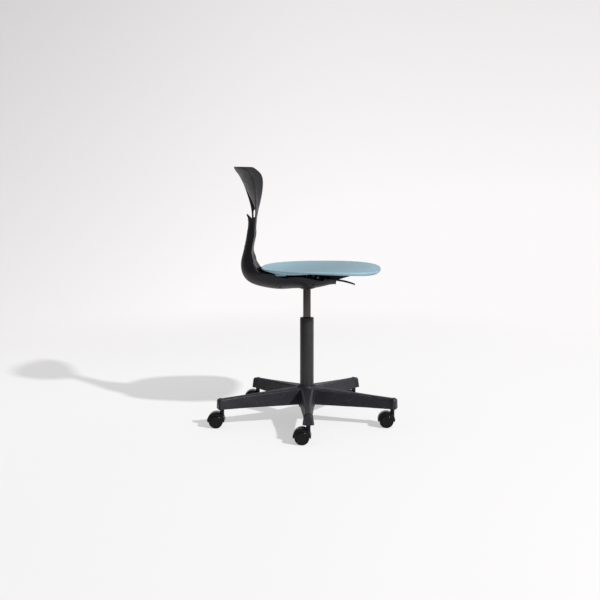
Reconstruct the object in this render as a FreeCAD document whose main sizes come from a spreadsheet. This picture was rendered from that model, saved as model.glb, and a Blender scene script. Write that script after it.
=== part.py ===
# Student swivel chair: plastic seat, moulded spine with a fan-shaped back,
# gas lift on a five-leg base with twin-wheel castors.
# Lengths in mm. +X is the front, -Y the sitter's right, Z = 0 is the floor.
# The column's axis is the Z axis.

import FreeCAD
import Part
import Sketcher
import math
import os
from FreeCAD import Placement, Rotation, Vector

doc = FreeCAD.newDocument("swivel_chair")

# Driving sizes

SIZES = [
    # castors
    ("wheel_diameter", 50, "castor wheel over its tread"),
    ("wheel_width", 17, "one wheel"),
    ("tread_thickness", 2.5, "soft tread on the wheel"),
    ("axle_diameter", 6, "steel axle"),
    ("axle_reach", 13, "axle length inside each wheel"),
    ("castor_trail", 21, "axle behind the stem"),
    ("castor_web", 9, "middle web of the hood"),
    ("wheel_play", 1, "between the web and a wheel"),
    ("hood_gap", 2.5, "between the tread and the hood"),
    ("hood_wall", 4, "thickness of the hood"),
    ("hood_width", 39, "hood over its two edges"),
    ("hood_boss", 15, "diameter of the stem boss"),
    ("stem_diameter", 11, "stem in the leg"),
    ("stem_length", 25, "stem above the leg's underside"),
    ("stem_foot", 8, "diameter of the stem inside the hood"),
    ("stem_collar", 1.2, "thickness of the collar under the leg"),
    # star base
    ("castor_height", 67, "floor to the underside of the legs"),
    ("castor_circle", 638, "diameter of the circle of stems"),
    ("leg_turn", -86.8, "direction of the first leg, degrees"),
    ("leg_overhang", 16, "leg end beyond the stem"),
    ("leg_tip_height", 37, "height of a leg at its end"),
    ("leg_root_height", 61, "height of a leg at the hub"),
    ("leg_tip_width", 41, "width of a leg at its end"),
    ("leg_waist_width", 31, "narrowest width of a leg"),
    ("leg_root_width", 58, "width of a leg at the hub"),
    ("leg_wall", 4, "wall of the hollow legs"),
    ("leg_draft", 5, "how much each side leans in over a leg's height"),
    ("leg_cap_length", 17, "raised cap at the end of a leg"),
    ("leg_cap_step", 0.8, "cap above the leg's top and sides"),
    ("leg_top_round", 4, "slanted top edges of a leg"),
    ("hub_diameter", 73, "hub below its top edge"),
    ("hub_height", 66, "leg underside to the hub's top"),
    ("hub_drop", 15, "hub boss below the legs"),
    # gas lift
    ("column_diameter", 50, "outer tube"),
    ("column_wall", 2, "wall of the outer tube"),
    ("column_taper", 1.5, "radius lost from the hub's top to the tube's foot"),
    ("column_rise", 247, "outer tube above the hub"),
    ("column_plate", 4, "closed foot of the outer tube"),
    ("bush_length", 90, "guide bush in the outer tube"),
    ("bush_lip", 2, "bush above the tube"),
    ("lift_diameter", 28, "gas cylinder"),
    ("lift_wall", 2, "wall of the gas cylinder"),
    ("lift_exposed", 105.6, "gas cylinder between the tube and the spine"),
    ("lift_hidden", 86, "gas cylinder inside the tube"),
    ("lift_plug", 10, "closed ends of the gas cylinder"),
    ("lift_cone", 0.8, "radius lost in the socket's cone"),
    ("rod_diameter", 10, "piston rod"),
    ("rod_end", 8, "piston rod where it passes the tube's foot"),
    ("rod_collar", 24, "collar that stands on the bearing"),
    ("piston_height", 10, "piston"),
    ("race_thickness", 2, "bearing race"),
    ("ball_diameter", 4, "bearing balls"),
    ("ball_circle", 20, "circle of the bearing balls"),
    ("pin_diameter", 6, "valve pin"),
    ("pin_stand", 6, "valve pin above the cylinder"),
    # socket and lever
    ("socket_height", 28.4, "socket above the spine's underside"),
    ("socket_diameter", 36, "socket tube"),
    ("socket_plate", 3, "plate and ears of the socket"),
    ("boss_diameter", 68, "boss of the spine round the socket"),
    ("boss_height", 13.4, "boss of the spine, underside to top"),
    ("boss_wall", 2, "boss round the socket's lower end"),
    ("boss_fairing", 5, "height of the cone under the boss"),
    ("lever_arm", 40, "valve pin to the lever's pivot"),
    ("lever_cross", 22, "lever's cross arm ahead of its pivot"),
    ("lever_width", 16, "width of the lever"),
    ("lever_side", 53, "lever blade to the sitter's right of the middle"),
    ("lever_reach", 173, "tip of the lever ahead of the column"),
    ("lever_thickness", 5, "thickness of the lever's blade"),
    ("lever_droop", 16, "tip of the lever below its root"),
    ("nose_diameter", 9, "rounded end of the lever above the valve pin"),
    ("pivot_diameter", 6, "lever's pivot pin"),
    # spine
    ("spine_setback", 75.7, "rearmost of the spine behind the seat"),
    ("spine_rise", 252.4, "spine's underside to its top end"),
    ("spine_half_width", 95, "half of the spine's greatest width"),
    ("spine_wall", 5, "wall of the spine"),
    ("spine_end_round", 8, "rounding of the spine's top end"),
    ("saddle_reach", 161, "front of the saddle ahead of the column"),
    ("saddle_half_width", 34, "half width over the saddle's cheeks"),
    ("saddle_wall", 4, "wall of the saddle"),
    ("saddle_round", 14, "rounding of the saddle's front corners"),
    ("saddle_tip", 51.4, "underside of the saddle's front above the spine's underside"),
    ("saddle_gap", 0.6, "between the saddle and the seat"),
    # back
    ("back_height", 184, "fan above the spine's top end"),
    ("back_half_width", 174.5, "half of the fan's greatest width"),
    ("back_radius", 277, "curve of the fan seen from above"),
    ("back_lean", 72.1, "fan's top behind its foot"),
    ("back_wall", 5, "thickness of the back"),
    ("back_corner", 26, "rounding of the fan's top corners"),
    ("back_crown", 1, "middle of the fan's top above its corners"),
    ("back_edge", 1.8, "rounding of the back's front edge"),
    ("tongue_gap", 3, "between the tongue and the spine's wall"),
    ("keel_width", 10, "rib behind the neck"),
    ("keel_depth", 13.6, "deepest of the rib behind the back's rear face"),
    ("keel_slot", 7, "slot between the rib and the back"),
    ("keel_slot_height", 33, "slot from its foot to its upper point"),
    ("hook_width", 20, "bag hook"),
    ("hook_thickness", 4, "bag hook's stem"),
    ("hook_rise", 16, "bag hook's tip above the spine"),
    # seat
    ("seat_length", 427, "front to rear"),
    ("seat_width", 430, "side to side at the middle"),
    ("seat_flare", 0.12, "how much wider the front is, as a share of the width"),
    ("seat_square", 2.8, "power of the outline's curve; 2 is an ellipse"),
    ("seat_forward", 51.2, "seat's middle ahead of the column"),
    ("seat_rise", 82.2, "side rims above the spine's underside"),
    ("seat_pitch", 0.9, "front rim below the side rims"),
    ("seat_drop", 3.4, "both end rims below the side rims"),
    ("seat_dish", 11.7, "depth of the dish at the seat's middle"),
    ("seat_roll", 26, "how much deeper it is at the rear, and raised at the front"),
    ("seat_wall", 5.5, "thickness of the seat"),
    ("seat_lip", 9.2, "depth of the rim at the sides"),
    ("seat_lip_front", 4.3, "how much deeper the rim is at the front"),
    ("seat_lip_width", 6, "thickness of the rim"),
    ("seat_edge", 2.5, "rounding of the rim's upper edge"),
    ("lug_place", 88, "side lugs behind the column"),
    ("lug_width", 48, "side lug at its top"),
    ("lug_taper", 8, "side lug narrower on each side at its bottom"),
    ("lug_bottom", 52.4, "bottom of the side lugs above the spine's underside"),
    ("post_diameter", 16, "posts and bosses of the seat's screws"),
    ("post_height", 47.4, "posts' tops above the spine's underside"),
    ("post_rear", 95, "rear posts behind the column"),
    ("post_rear_side", 48, "rear posts from the middle"),
    ("post_front", 22, "front posts ahead of the column"),
    ("post_front_side", 45, "front posts from the middle"),
    # fasteners and fits
    ("screw_diameter", 5, "all screws"),
    ("screw_head", 9, "screw heads"),
    ("screw_head_height", 2.2, "screw heads"),
    ("fit", 0.03, "tight fits, on the radius"),
    ("run", 0.05, "running fits, on the radius"),
    ("play", 0.3, "gap between pieces that pass each other"),
]

LEGS = 5
STEP = 360 / LEGS
BALLS = 8

sheet = doc.addObject("Spreadsheet::Sheet", "Sizes")
for row, (name, value, note) in enumerate(SIZES, start=1):
    sheet.set(f"A{row}", note)
    sheet.set(f"B{row}", str(value))
    sheet.setAlias(f"B{row}", name)
doc.recompute()


class Dim:
    """A size: its value now, and the sheet formula that gives it."""

    def __init__(self, value, formula):
        self.value = float(value)
        self.formula = formula

    def __float__(self):
        return self.value

    def joined(self, sign, other, value):
        return Dim(value, f"({self.formula} {sign} {other.formula})")

    def __add__(self, other):
        other = as_dim(other)
        return self.joined("+", other, self.value + other.value)

    def __sub__(self, other):
        other = as_dim(other)
        return self.joined("-", other, self.value - other.value)

    def __mul__(self, other):
        other = as_dim(other)
        return self.joined("*", other, self.value * other.value)

    def __truediv__(self, other):
        other = as_dim(other)
        return self.joined("/", other, self.value / other.value)

    def __radd__(self, other):
        return as_dim(other) + self

    def __rsub__(self, other):
        return as_dim(other) - self

    def __rmul__(self, other):
        return as_dim(other) * self

    def __neg__(self):
        return as_dim(0) - self


def as_dim(number):
    return number if isinstance(number, Dim) else Dim(number, f"{number:.6g}")


def size(name):
    return Dim(sheet.get(name), f"Sizes.{name}")


def cosine(angle):
    return Dim(math.cos(math.radians(angle.value)), f"cos({angle.formula})")


def sine(angle):
    return Dim(math.sin(math.radians(angle.value)), f"sin({angle.formula})")


# Sizes that several pieces share

fit = size("fit")
run = size("run")
play = size("play")
wheel_r = size("wheel_diameter") / 2
axle_r = size("axle_diameter") / 2
leg_z = size("castor_height")
stem_ring = size("castor_circle") / 2
hub_top = leg_z + size("hub_height")
hub_foot = leg_z - size("hub_drop")
column_r = size("column_diameter") / 2
column_foot = hub_foot - 2
column_floor = column_foot + size("column_plate")
column_top = hub_top + size("column_rise")
lift_r = size("lift_diameter") / 2
rod_r = size("rod_diameter") / 2
pin_r = size("pin_diameter") / 2
spine_z = column_top + size("lift_exposed")
lift_foot = column_top - size("lift_hidden")
lift_top = spine_z + size("socket_height") + 2
chamber_foot = lift_foot + size("lift_plug")
chamber_top = lift_top - size("lift_plug") * 2
pin_top = lift_top + size("pin_stand")
boss_top = spine_z + size("boss_height")
pivot_z = pin_top + play + size("nose_diameter") / 2
screw_r = size("screw_diameter") / 2
head_r = size("screw_head") / 2
post_r = size("post_diameter") / 2
post_z = spine_z + size("post_height")
lug_z = spine_z + size("lug_bottom")
seat_rear = size("seat_length") / 2 - size("seat_forward")
spine_reach = seat_rear + size("spine_setback")
spine_top = spine_z + size("spine_rise")


# Building blocks

def put(part, x=None, y=None, z=None):
    """Binds a part's place to the sheet."""
    for axis, dim in (("x", x), ("y", y), ("z", z)):
        if dim is not None:
            part.setExpression(f"Placement.Base.{axis}", as_dim(dim).formula)
    return part


def bind(part, **sizes):
    for name, dim in sizes.items():
        part.setExpression(name, as_dim(dim).formula)
    return part


def cylinder(name, radius, height, x=0, y=0, z=0, along="Z"):
    turns = {"X": (Vector(0, 1, 0), 90), "Y": (Vector(1, 0, 0), -90), "Z": (Vector(0, 0, 1), 0)}
    part = doc.addObject("Part::Cylinder", name)
    bind(part, Radius=radius, Height=height)
    part.Placement = Placement(Vector(), Rotation(*turns[along]))
    return put(part, x, y, z)


def cone(name, foot_radius, top_radius, height, x=0, y=0, z=0):
    part = doc.addObject("Part::Cone", name)
    bind(part, Radius1=foot_radius, Radius2=top_radius, Height=height)
    return put(part, x, y, z)


def box(name, length, width, height, x=0, y=0, z=0):
    part = doc.addObject("Part::Box", name)
    bind(part, Length=length, Width=width, Height=height)
    return put(part, x, y, z)


def fuse(name, *parts):
    whole = doc.addObject("Part::MultiFuse", name)
    whole.Shapes = list(parts)
    return whole


def cut(name, base, *tools):
    whole = doc.addObject("Part::Cut", name)
    whole.Base = base
    whole.Tool = tools[0] if len(tools) == 1 else fuse(name + "_tools", *tools)
    return whole


def common(name, *parts):
    whole = doc.addObject("Part::MultiCommon", name)
    whole.Shapes = list(parts)
    return whole


def feature(name, shape, place=None):
    part = doc.addObject("Part::Feature", name)
    part.Shape = shape
    if place is not None:
        part.Placement = place
    return part


def plane_of(body, role):
    return next(item for item in body.Origin.OriginFeatures if item.Role == role)


def tie(sketch, kind, line, dim):
    """Holds the first point of a line at a distance from the sketch's origin."""
    dim = as_dim(dim)
    if abs(dim.value) < 1e-9:
        axis = -2 if kind == "DistanceX" else -1
        sketch.addConstraint(Sketcher.Constraint("PointOnObject", line, 1, axis))
        return
    index = sketch.addConstraint(Sketcher.Constraint(kind, -1, 1, line, 1, dim.value))
    sketch.setExpression(f"Constraints[{index}]", dim.formula)


def outline(body, name, plane, corners, offset=None):
    """A closed sketch of straight lines; every corner is bound to the sheet."""
    sketch = body.newObject("Sketcher::SketchObject", name)
    sketch.AttachmentSupport = [(plane_of(body, plane), "")]
    sketch.MapMode = "FlatFace"
    if offset is not None:
        sketch.setExpression("AttachmentOffset.Base.z", as_dim(offset).formula)
    points = [Vector(float(across), float(up), 0) for across, up in corners]
    count = len(points)
    for i in range(count):
        sketch.addGeometry(Part.LineSegment(points[i], points[(i + 1) % count]))
    for i in range(count):
        sketch.addConstraint(Sketcher.Constraint("Coincident", i, 2, (i + 1) % count, 1))
    for i, (across, up) in enumerate(corners):
        tie(sketch, "DistanceX", i, across)
        tie(sketch, "DistanceY", i, up)
    return sketch


def turned(name, corners):
    """A body turned about the Z axis from (radius, height) corners."""
    body = doc.addObject("PartDesign::Body", name)
    profile = outline(body, name + "_profile", "XZ_Plane", corners)
    turn = body.newObject("PartDesign::Revolution", name + "_turn")
    turn.Profile = profile
    turn.ReferenceAxis = (profile, ["V_Axis"])
    turn.Angle = 360
    return body


def copies(name, form, places):
    """One node that holds the same form at several places."""
    doc.recompute()
    group = doc.addObject("Part::Compound", name)
    group.Links = [feature(f"{name}_{i}", form.Shape, place) for i, place in enumerate(places)]
    return group


def arc(start, middle, end):
    return Part.Arc(start, middle, end).toShape()


def line(start, end):
    return Part.LineSegment(start, end).toShape()


def curve(points):
    """A smooth curve through points."""
    spline = Part.BSplineCurve()
    spline.interpolate(points)
    return spline.toShape()


def prism(edges, direction):
    return Part.Face(Part.Wire(Part.sortEdges(edges)[0])).extrude(direction)


def loft(wires):
    return Part.makeLoft(wires, True, False)


def arched(outer, inner):
    """A closed wire between two arcs, each given by three points in the same order."""
    return Part.Wire([arc(*outer), line(outer[2], inner[2]),
                      arc(inner[2], inner[1], inner[0]), line(inner[0], outer[0])])


# Castors: one form of each piece, then five copies

hood_r = wheel_r + size("hood_gap") + size("hood_wall")
web_half = size("castor_web") / 2
wheel_side = web_half + size("wheel_play")
boss_z = leg_z - size("stem_collar") - play
rim_r = wheel_r - size("tread_thickness")


def hood_form():
    trail = -size("castor_trail")
    width = size("hood_width")
    web = size("castor_web")
    shell = cut("hood_ring",
                cylinder("hood_outside", hood_r, width, trail, -width / 2, wheel_r, "Y"),
                cylinder("hood_inside", wheel_r + size("hood_gap"), width + 2,
                         trail, -width / 2 - 1, wheel_r, "Y"))
    disc = cylinder("hood_web", hood_r - 1, web, trail, -web_half, wheel_r, "Y")
    upper = box("hood_upper", hood_r * 2 + 4, width + 4, hood_r + 6,
                trail - hood_r - 2, -width / 2 - 2, wheel_r - 4)
    cover = common("hood_cover", fuse("hood_mass", shell, disc), upper)
    axle_boss = cylinder("hood_axle_boss", axle_r + 5, web, trail, -web_half, wheel_r, "Y")
    boss_foot = wheel_r + hood_r * 0.72
    stem_boss = cylinder("hood_stem_boss", size("hood_boss") / 2, boss_z - boss_foot, z=boss_foot)
    stem_bore = cylinder("hood_stem_bore", size("stem_foot") / 2 + run, boss_z, z=boss_foot + 3)
    axle_bore = cylinder("hood_axle_bore", axle_r + fit, web + 4, trail, -web_half - 2, wheel_r, "Y")
    return cut("hood_form", fuse("hood_solid", cover, axle_boss, stem_boss), stem_bore, axle_bore)


def wheel_form():
    width = size("wheel_width")
    hub_r = axle_r + 4
    face = width - 4
    return turned("wheel_form", [
        (0, size("axle_reach") + 1), (axle_r + run, size("axle_reach") + 1), (axle_r + run, 0), (hub_r, 0),
        (hub_r, face - 1), (rim_r - 3, face - 2), (rim_r - 3, 1), (rim_r, 1), (rim_r, width - 1.5),
        (rim_r - 1.5, width - 0.5), (rim_r - 3.5, width - 0.5), (rim_r - 5, width - 1.6),
        (hub_r + 2, width - 0.4), (hub_r - 2, width), (0, width)])


def tread_form():
    width = size("wheel_width")
    return turned("tread_form", [
        (rim_r, 1), (wheel_r - 0.8, 1), (wheel_r, 2.2), (wheel_r, width - 2.7),
        (wheel_r - 0.8, width - 1.5), (rim_r, width - 1.5)])


def stem_form():
    foot_r = size("stem_foot") / 2
    stem_r = size("stem_diameter") / 2
    top = leg_z + size("stem_length")
    collar_r = size("hood_boss") / 2
    foot = wheel_r + hood_r * 0.72 + 3 + play
    return turned("stem_form", [
        (0, foot), (foot_r, foot), (foot_r, boss_z + play), (collar_r, boss_z + play), (collar_r, leg_z),
        (stem_r, leg_z), (stem_r, top - 1), (stem_r - 1, top), (0, top)])


def castors():
    trail = -float(size("castor_trail"))
    half = float(wheel_side + size("axle_reach"))
    axle = cylinder("axle_form", axle_r, (wheel_side + size("axle_reach")) * 2)
    forms = {"hood": hood_form(), "wheel": wheel_form(), "tread": tread_form(), "stem": stem_form()}
    doc.recompute()
    axle_at = Vector(trail, 0, float(wheel_r))
    side = float(wheel_side)
    right = Placement(axle_at + Vector(0, -side, 0), Rotation(Vector(1, 0, 0), 90))
    left = Placement(axle_at + Vector(0, side, 0), Rotation(Vector(1, 0, 0), -90))
    pieces = []
    for number in range(1, LEGS + 1):
        turn = math.radians(float(size("leg_turn")) + STEP * (number - 1))
        ring = float(stem_ring)
        at = Placement(Vector(ring * math.cos(turn), ring * math.sin(turn), 0), Rotation())
        across = Placement(axle_at + Vector(0, half, 0), Rotation(Vector(1, 0, 0), 90))
        pieces += [
            feature(f"castor_stem_{number}", forms["stem"].Shape, at),
            feature(f"castor_hood_{number}", forms["hood"].Shape, at),
            feature(f"castor_axle_{number}", axle.Shape, at * across),
            feature(f"castor_wheel_right_{number}", forms["wheel"].Shape, at * right),
            feature(f"castor_tread_right_{number}", forms["tread"].Shape, at * right),
            feature(f"castor_wheel_left_{number}", forms["wheel"].Shape, at * left),
            feature(f"castor_tread_left_{number}", forms["tread"].Shape, at * left)]
    return pieces


# Star base: turned hub, one lofted leg with ribbed cells, repeated round the axis

def leg_corners(half_width, height, top_round, inset=0, foot=0):
    """Section of a leg: half_width at the underside, leaning in towards the top."""
    low = half_width - inset
    high = half_width - size("leg_draft") - inset
    floor = leg_z - foot
    top = leg_z + height - inset
    return [(-low, floor), (low, floor), (high, top - top_round), (high - top_round, top),
            (top_round - high, top), (-high, top - top_round)]


def star_base():
    body = doc.addObject("PartDesign::Body", "star_base")
    hub_r = size("hub_diameter") / 2
    hub = outline(body, "hub_profile", "XZ_Plane", [
        (0, hub_foot), (column_r + 4, hub_foot), (column_r + 6, leg_z - 2), (hub_r, leg_z + 12),
        (hub_r - 1, hub_top - 5), (hub_r - 4, hub_top), (0, hub_top)])
    hub_turn = body.newObject("PartDesign::Revolution", "hub_turn")
    hub_turn.Profile = hub
    hub_turn.ReferenceAxis = (hub, ["V_Axis"])
    hub_turn.Angle = 360

    tip = stem_ring + size("leg_overhang")
    root_x = hub_r * 0.45
    waist_x = stem_ring * 0.72
    shoulder_x = tip - 9
    neck_x = tip - size("leg_cap_length")
    step = size("leg_cap_step")
    slope = (size("leg_root_height") - size("leg_tip_height")) / (shoulder_x - root_x)
    root = size("leg_root_width") / 2
    waist = size("leg_waist_width") / 2
    end = size("leg_tip_width") / 2

    def width_at(x):
        """Half width of the leg, root to waist; from there to the neck it keeps the waist's."""
        if float(x) >= float(waist_x):
            return waist
        return root + (waist - root) * ((x - root_x) / (waist_x - root_x))

    def height_at(x):
        return size("leg_root_height") - slope * (x - root_x)

    cap_x = neck_x + step * 2
    sections = [
        ("root", root_x, root, height_at(root_x)),
        ("waist", waist_x, waist, height_at(waist_x)),
        ("neck", neck_x, waist, height_at(neck_x)),
        ("cap", cap_x, waist + step, height_at(cap_x) + step),
        ("shoulder", shoulder_x, end, height_at(shoulder_x) + step),
        ("end", tip, end - 5, height_at(shoulder_x) + step - 4)]
    top_round = size("leg_top_round")
    sketches = [outline(body, f"leg_{name}", "YZ_Plane", leg_corners(width, height, top_round), x)
                for name, x, width, height in sections]
    leg = body.newObject("PartDesign::AdditiveLoft", "leg")
    leg.Profile = sketches[0]
    leg.Sections = sketches[1:]
    leg.Ruled = True

    cells = []
    first = hub_r + 6
    last = stem_ring - size("stem_diameter") / 2 - 6
    rib = size("leg_wall") / 2
    marks = [first, first + (waist_x - first) * 0.5, waist_x, last]
    for number, (near, far) in enumerate(zip(marks, marks[1:])):
        ends = [outline(body, f"cell_{number}_{end}", "YZ_Plane",
                        leg_corners(width_at(x), height_at(x), top_round - 1, size("leg_wall"), 2), x)
                for end, x in (("near", near + rib), ("far", far - rib))]
        cell = body.newObject("PartDesign::SubtractiveLoft", f"cell_{number}")
        cell.Profile = ends[0]
        cell.Sections = ends[1:]
        cell.Ruled = True
        cells.append(cell)

    circle = body.newObject("Sketcher::SketchObject", "stem_circle")
    circle.AttachmentSupport = [(plane_of(body, "XY_Plane"), "")]
    circle.MapMode = "FlatFace"
    bind(circle, **{"AttachmentOffset.Base.z": leg_z})
    stem_bore = size("stem_diameter") / 2 + fit
    circle.addGeometry(Part.Circle(Vector(float(stem_ring), 0, 0), Vector(0, 0, 1), float(stem_bore)))
    circle.addConstraint(Sketcher.Constraint("PointOnObject", 0, 3, -1))
    place = circle.addConstraint(Sketcher.Constraint("DistanceX", -1, 1, 0, 3, float(stem_ring)))
    radius = circle.addConstraint(Sketcher.Constraint("Radius", 0, float(stem_bore)))
    bind(circle, **{f"Constraints[{place}]": stem_ring, f"Constraints[{radius}]": stem_bore})
    socket = body.newObject("PartDesign::Pocket", "stem_socket")
    socket.Profile = circle
    socket.Reversed = True
    bind(socket, Length=size("stem_length") + 1)

    legs = body.newObject("PartDesign::PolarPattern", "legs")
    legs.Originals = [leg] + cells + [socket]
    legs.Axis = (hub, ["V_Axis"])
    legs.Angle = 360
    legs.Occurrences = LEGS
    body.Tip = legs

    lost = size("column_taper") * (hub_top - hub_foot) / (hub_top - column_foot)
    bore = outline(body, "bore_profile", "XZ_Plane", [
        (0, hub_foot - 1), (column_r - lost + fit, hub_foot - 1), (column_r - lost + fit, hub_foot),
        (column_r + fit, hub_top), (column_r + fit, hub_top + 1), (0, hub_top + 1)])
    groove = body.newObject("PartDesign::Groove", "column_bore")
    groove.Profile = bore
    groove.ReferenceAxis = (bore, ["V_Axis"])
    groove.Angle = 360
    body.Tip = groove
    bind(body, **{"Placement.Rotation.Angle": size("leg_turn")})
    return body


# Gas lift

def gas_lift():
    wall = size("column_wall")
    foot_r = column_r - size("column_taper")
    end_r = size("rod_end") / 2
    tube = turned("column_tube", [
        (end_r + run, column_foot), (foot_r, column_foot), (column_r, hub_top), (column_r, column_top - 1),
        (column_r - 0.8, column_top), (column_r - wall, column_top), (column_r - wall, hub_top),
        (foot_r - wall, column_floor), (end_r + run, column_floor)])
    bush_r = column_r - wall - fit
    bush = turned("guide_bush", [
        (lift_r + run, column_top - size("bush_length")), (bush_r, column_top - size("bush_length")),
        (bush_r, column_top), (column_r - 1, column_top), (column_r - 1, column_top + size("bush_lip") * 0.4),
        (lift_r + 4, column_top + size("bush_lip")), (lift_r + run, column_top + size("bush_lip"))])
    chamber_r = lift_r - size("lift_wall")
    cylinder_body = turned("gas_cylinder", [
        (rod_r + run, lift_foot), (lift_r - 1, lift_foot), (lift_r, lift_foot + 1), (lift_r, spine_z),
        (lift_r - size("lift_cone"), lift_top), (pin_r + run, lift_top), (pin_r + run, chamber_top),
        (chamber_r, chamber_top), (chamber_r, chamber_foot), (rod_r + run, chamber_foot)])
    pin = turned("release_pin", [
        (0, chamber_top + 5), (pin_r, chamber_top + 5), (pin_r, pin_top - 1),
        (pin_r - 1, pin_top), (0, pin_top)])
    race_top = column_floor + size("race_thickness")
    ball_r = size("ball_diameter") / 2
    ball_z = race_top + play + ball_r
    collar_z = ball_z + ball_r
    race_r = size("ball_circle") / 2 + ball_r * 2
    race = turned("bearing_race", [
        (end_r + 2, column_floor), (race_r, column_floor), (race_r, race_top), (end_r + 2, race_top)])
    piston_top = chamber_foot + (column_top - chamber_foot) + 15
    piston_foot = piston_top - size("piston_height")
    rod_foot = column_foot - 3.5
    collar_r = size("rod_collar") / 2
    rod = turned("piston_rod", [
        (0, rod_foot), (end_r, rod_foot), (end_r, collar_z), (collar_r, collar_z), (collar_r, collar_z + 3),
        (rod_r, collar_z + 6), (rod_r, piston_foot), (chamber_r - run, piston_foot),
        (chamber_r - run, piston_top), (0, piston_top)])
    cage_half = ball_r * 0.6
    ring_r = size("ball_circle") / 2
    ring = turned("cage_ring", [
        (ring_r - ball_r * 1.6, ball_z - cage_half), (ring_r + ball_r * 1.6, ball_z - cage_half),
        (ring_r + ball_r * 1.6, ball_z + cage_half), (ring_r - ball_r * 1.6, ball_z + cage_half)])
    balls = []
    for number in range(BALLS):
        ball = doc.addObject("Part::Sphere", f"ball_{number}")
        bind(ball, Radius=ball_r)
        turn = as_dim(number * 360 / BALLS)
        balls.append(put(ball, ring_r * cosine(turn), ring_r * sine(turn), ball_z))
    cage = fuse("ball_cage", ring, *balls)
    clip_top = column_foot - play
    clip_ring = turned("clip_ring", [
        (end_r + fit, clip_top - 1.2), (end_r + 4, clip_top - 1.2),
        (end_r + 4, clip_top), (end_r + fit, clip_top)])
    clip_mouth = box("clip_mouth", end_r + 6, end_r * 1.2, 4, 0, -end_r * 0.6, clip_top - 3)
    clip = cut("retaining_clip", clip_ring, clip_mouth)
    return [tube, bush, cylinder_body, pin, race, rod, cage, clip]


# Socket, pivot pin and lever under the seat

def socket_holes():
    spots = size("boss_diameter") / 2 - 8
    return [(along * spots * 0.62, across * spots * 0.72) for along in (-1, 1) for across in (-1, 1)]


def socket_plate():
    """Length, width and rear right corner of the socket's plate."""
    half = size("lever_width") / 2 + play * 2 + size("socket_plate") + 10
    rear = -size("boss_diameter") / 2 + 4
    return size("lever_arm") + 8 - rear, half * 2, (rear, -half)


def taper_socket():
    thick = size("socket_plate")
    ear_gap = size("lever_width") / 2 + play * 2
    half = ear_gap + thick
    length, width, corner = socket_plate()
    plate = box("socket_base", length, width, thick, corner[0], corner[1], boss_top)
    tube = cylinder("socket_tube", size("socket_diameter") / 2, size("socket_height"), z=spine_z)
    pivot_r = size("pivot_diameter") / 2
    ears = []
    for side, y in (("left", ear_gap), ("right", -half)):
        post = box(f"ear_{side}", pivot_r * 4, thick, pivot_z - boss_top,
                   size("lever_arm") - pivot_r * 2, y, boss_top)
        crown = cylinder(f"ear_crown_{side}", pivot_r * 2, thick, size("lever_arm"), y, pivot_z, "Y")
        ears += [post, crown]
    bore = cone("socket_bore", lift_r + fit, lift_r - size("lift_cone") + fit, lift_top - spine_z, z=spine_z)
    pivot = cylinder("ear_bore", pivot_r + fit, half * 4, size("lever_arm"), -half * 2, pivot_z, "Y")
    holes = [cylinder(f"socket_hole_{i}", screw_r + fit, thick * 4, x, y, boss_top - thick)
             for i, (x, y) in enumerate(socket_holes())]
    socket = cut("taper_socket", fuse("socket_solid", plate, tube, *ears), bore, pivot, *holes)
    pin = cylinder("lever_pivot_pin", pivot_r, half * 2 + 2, size("lever_arm"), -half - 1, pivot_z, "Y")
    return [socket, pin]


def screw_form(name, length):
    drive = head_r * 0.45
    return turned(name, [
        (0, size("screw_head_height") * 0.6), (drive, size("screw_head_height") * 0.6), (drive, 0),
        (head_r - 0.6, 0), (head_r, 0.6), (head_r, size("screw_head_height")),
        (screw_r, size("screw_head_height")), (screw_r, length - 1), (screw_r - 1, length), (0, length)])


def height_lever():
    """Nose over the valve pin, arm to the pivot, then across to the blade on the right."""
    thick = float(size("lever_thickness"))
    half = float(size("lever_width")) / 2
    reach = float(size("lever_reach"))
    nose = float(size("nose_diameter")) / 2
    arm = float(size("lever_arm"))
    z = float(pivot_z)
    hub = float(size("pivot_diameter")) / 2 + 4
    low = z - thick / 2 - 2
    high = low + thick
    bend = reach - 78
    droop = float(size("lever_droop"))
    side = float(size("lever_side"))

    def at(x, height):
        return Vector(x, -side - half, height)

    profile = [
        arc(at(0, z + nose), at(-nose, z), at(0, z - nose)),
        line(at(0, z - nose), at(arm - hub, z - nose)),
        line(at(arm - hub, z - nose), at(arm, z - hub)),
        line(at(arm, z - hub), at(arm + hub, low)),
        line(at(arm + hub, low), at(bend, low)),
        arc(at(bend, low), at(bend + 50, low - droop * 0.5), at(reach - 1, low - droop)),
        line(at(reach - 1, low - droop), at(reach, high - droop - 1)),
        arc(at(reach, high - droop - 1), at(bend + 51, high - droop * 0.49), at(bend, high)),
        line(at(bend, high), at(arm + hub, high)),
        line(at(arm + hub, high), at(arm, z + hub)),
        line(at(arm, z + hub), at(arm - hub, z + nose)),
        line(at(arm - hub, z + nose), at(0, z + nose))]
    band = prism(profile, Vector(0, side + half * 2, 0))
    cross = arm + float(size("lever_cross"))
    plan = [(-nose - 1, half), (cross + 2 * half, half), (cross + 2 * half, -side + half),
            (reach + 1, -side + half), (reach + 1, -side - half), (cross, -side - half), (cross, -half),
            (-nose - 1, -half)]
    corners = [Vector(x, y, z - 60) for x, y in plan]
    plan_edges = [line(a, b) for a, b in zip(corners, corners[1:] + corners[:1])]
    bore_r = float(size("pivot_diameter") / 2 + run)
    bore = Part.makeCylinder(bore_r, 4 * half, Vector(arm, -2 * half, z), Vector(0, 1, 0))
    shape = band.common(prism(plan_edges, Vector(0, 0, 120))).cut(bore)
    return feature("height_lever", shape.removeSplitter())


# Spine: a trough lofted through sections from the front tip, round the bend, up to the neck.
# Each station gives the trough's underside and its mouth as shares of the reach and the rise,
# and its half width as a share of the greatest half width.

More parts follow.
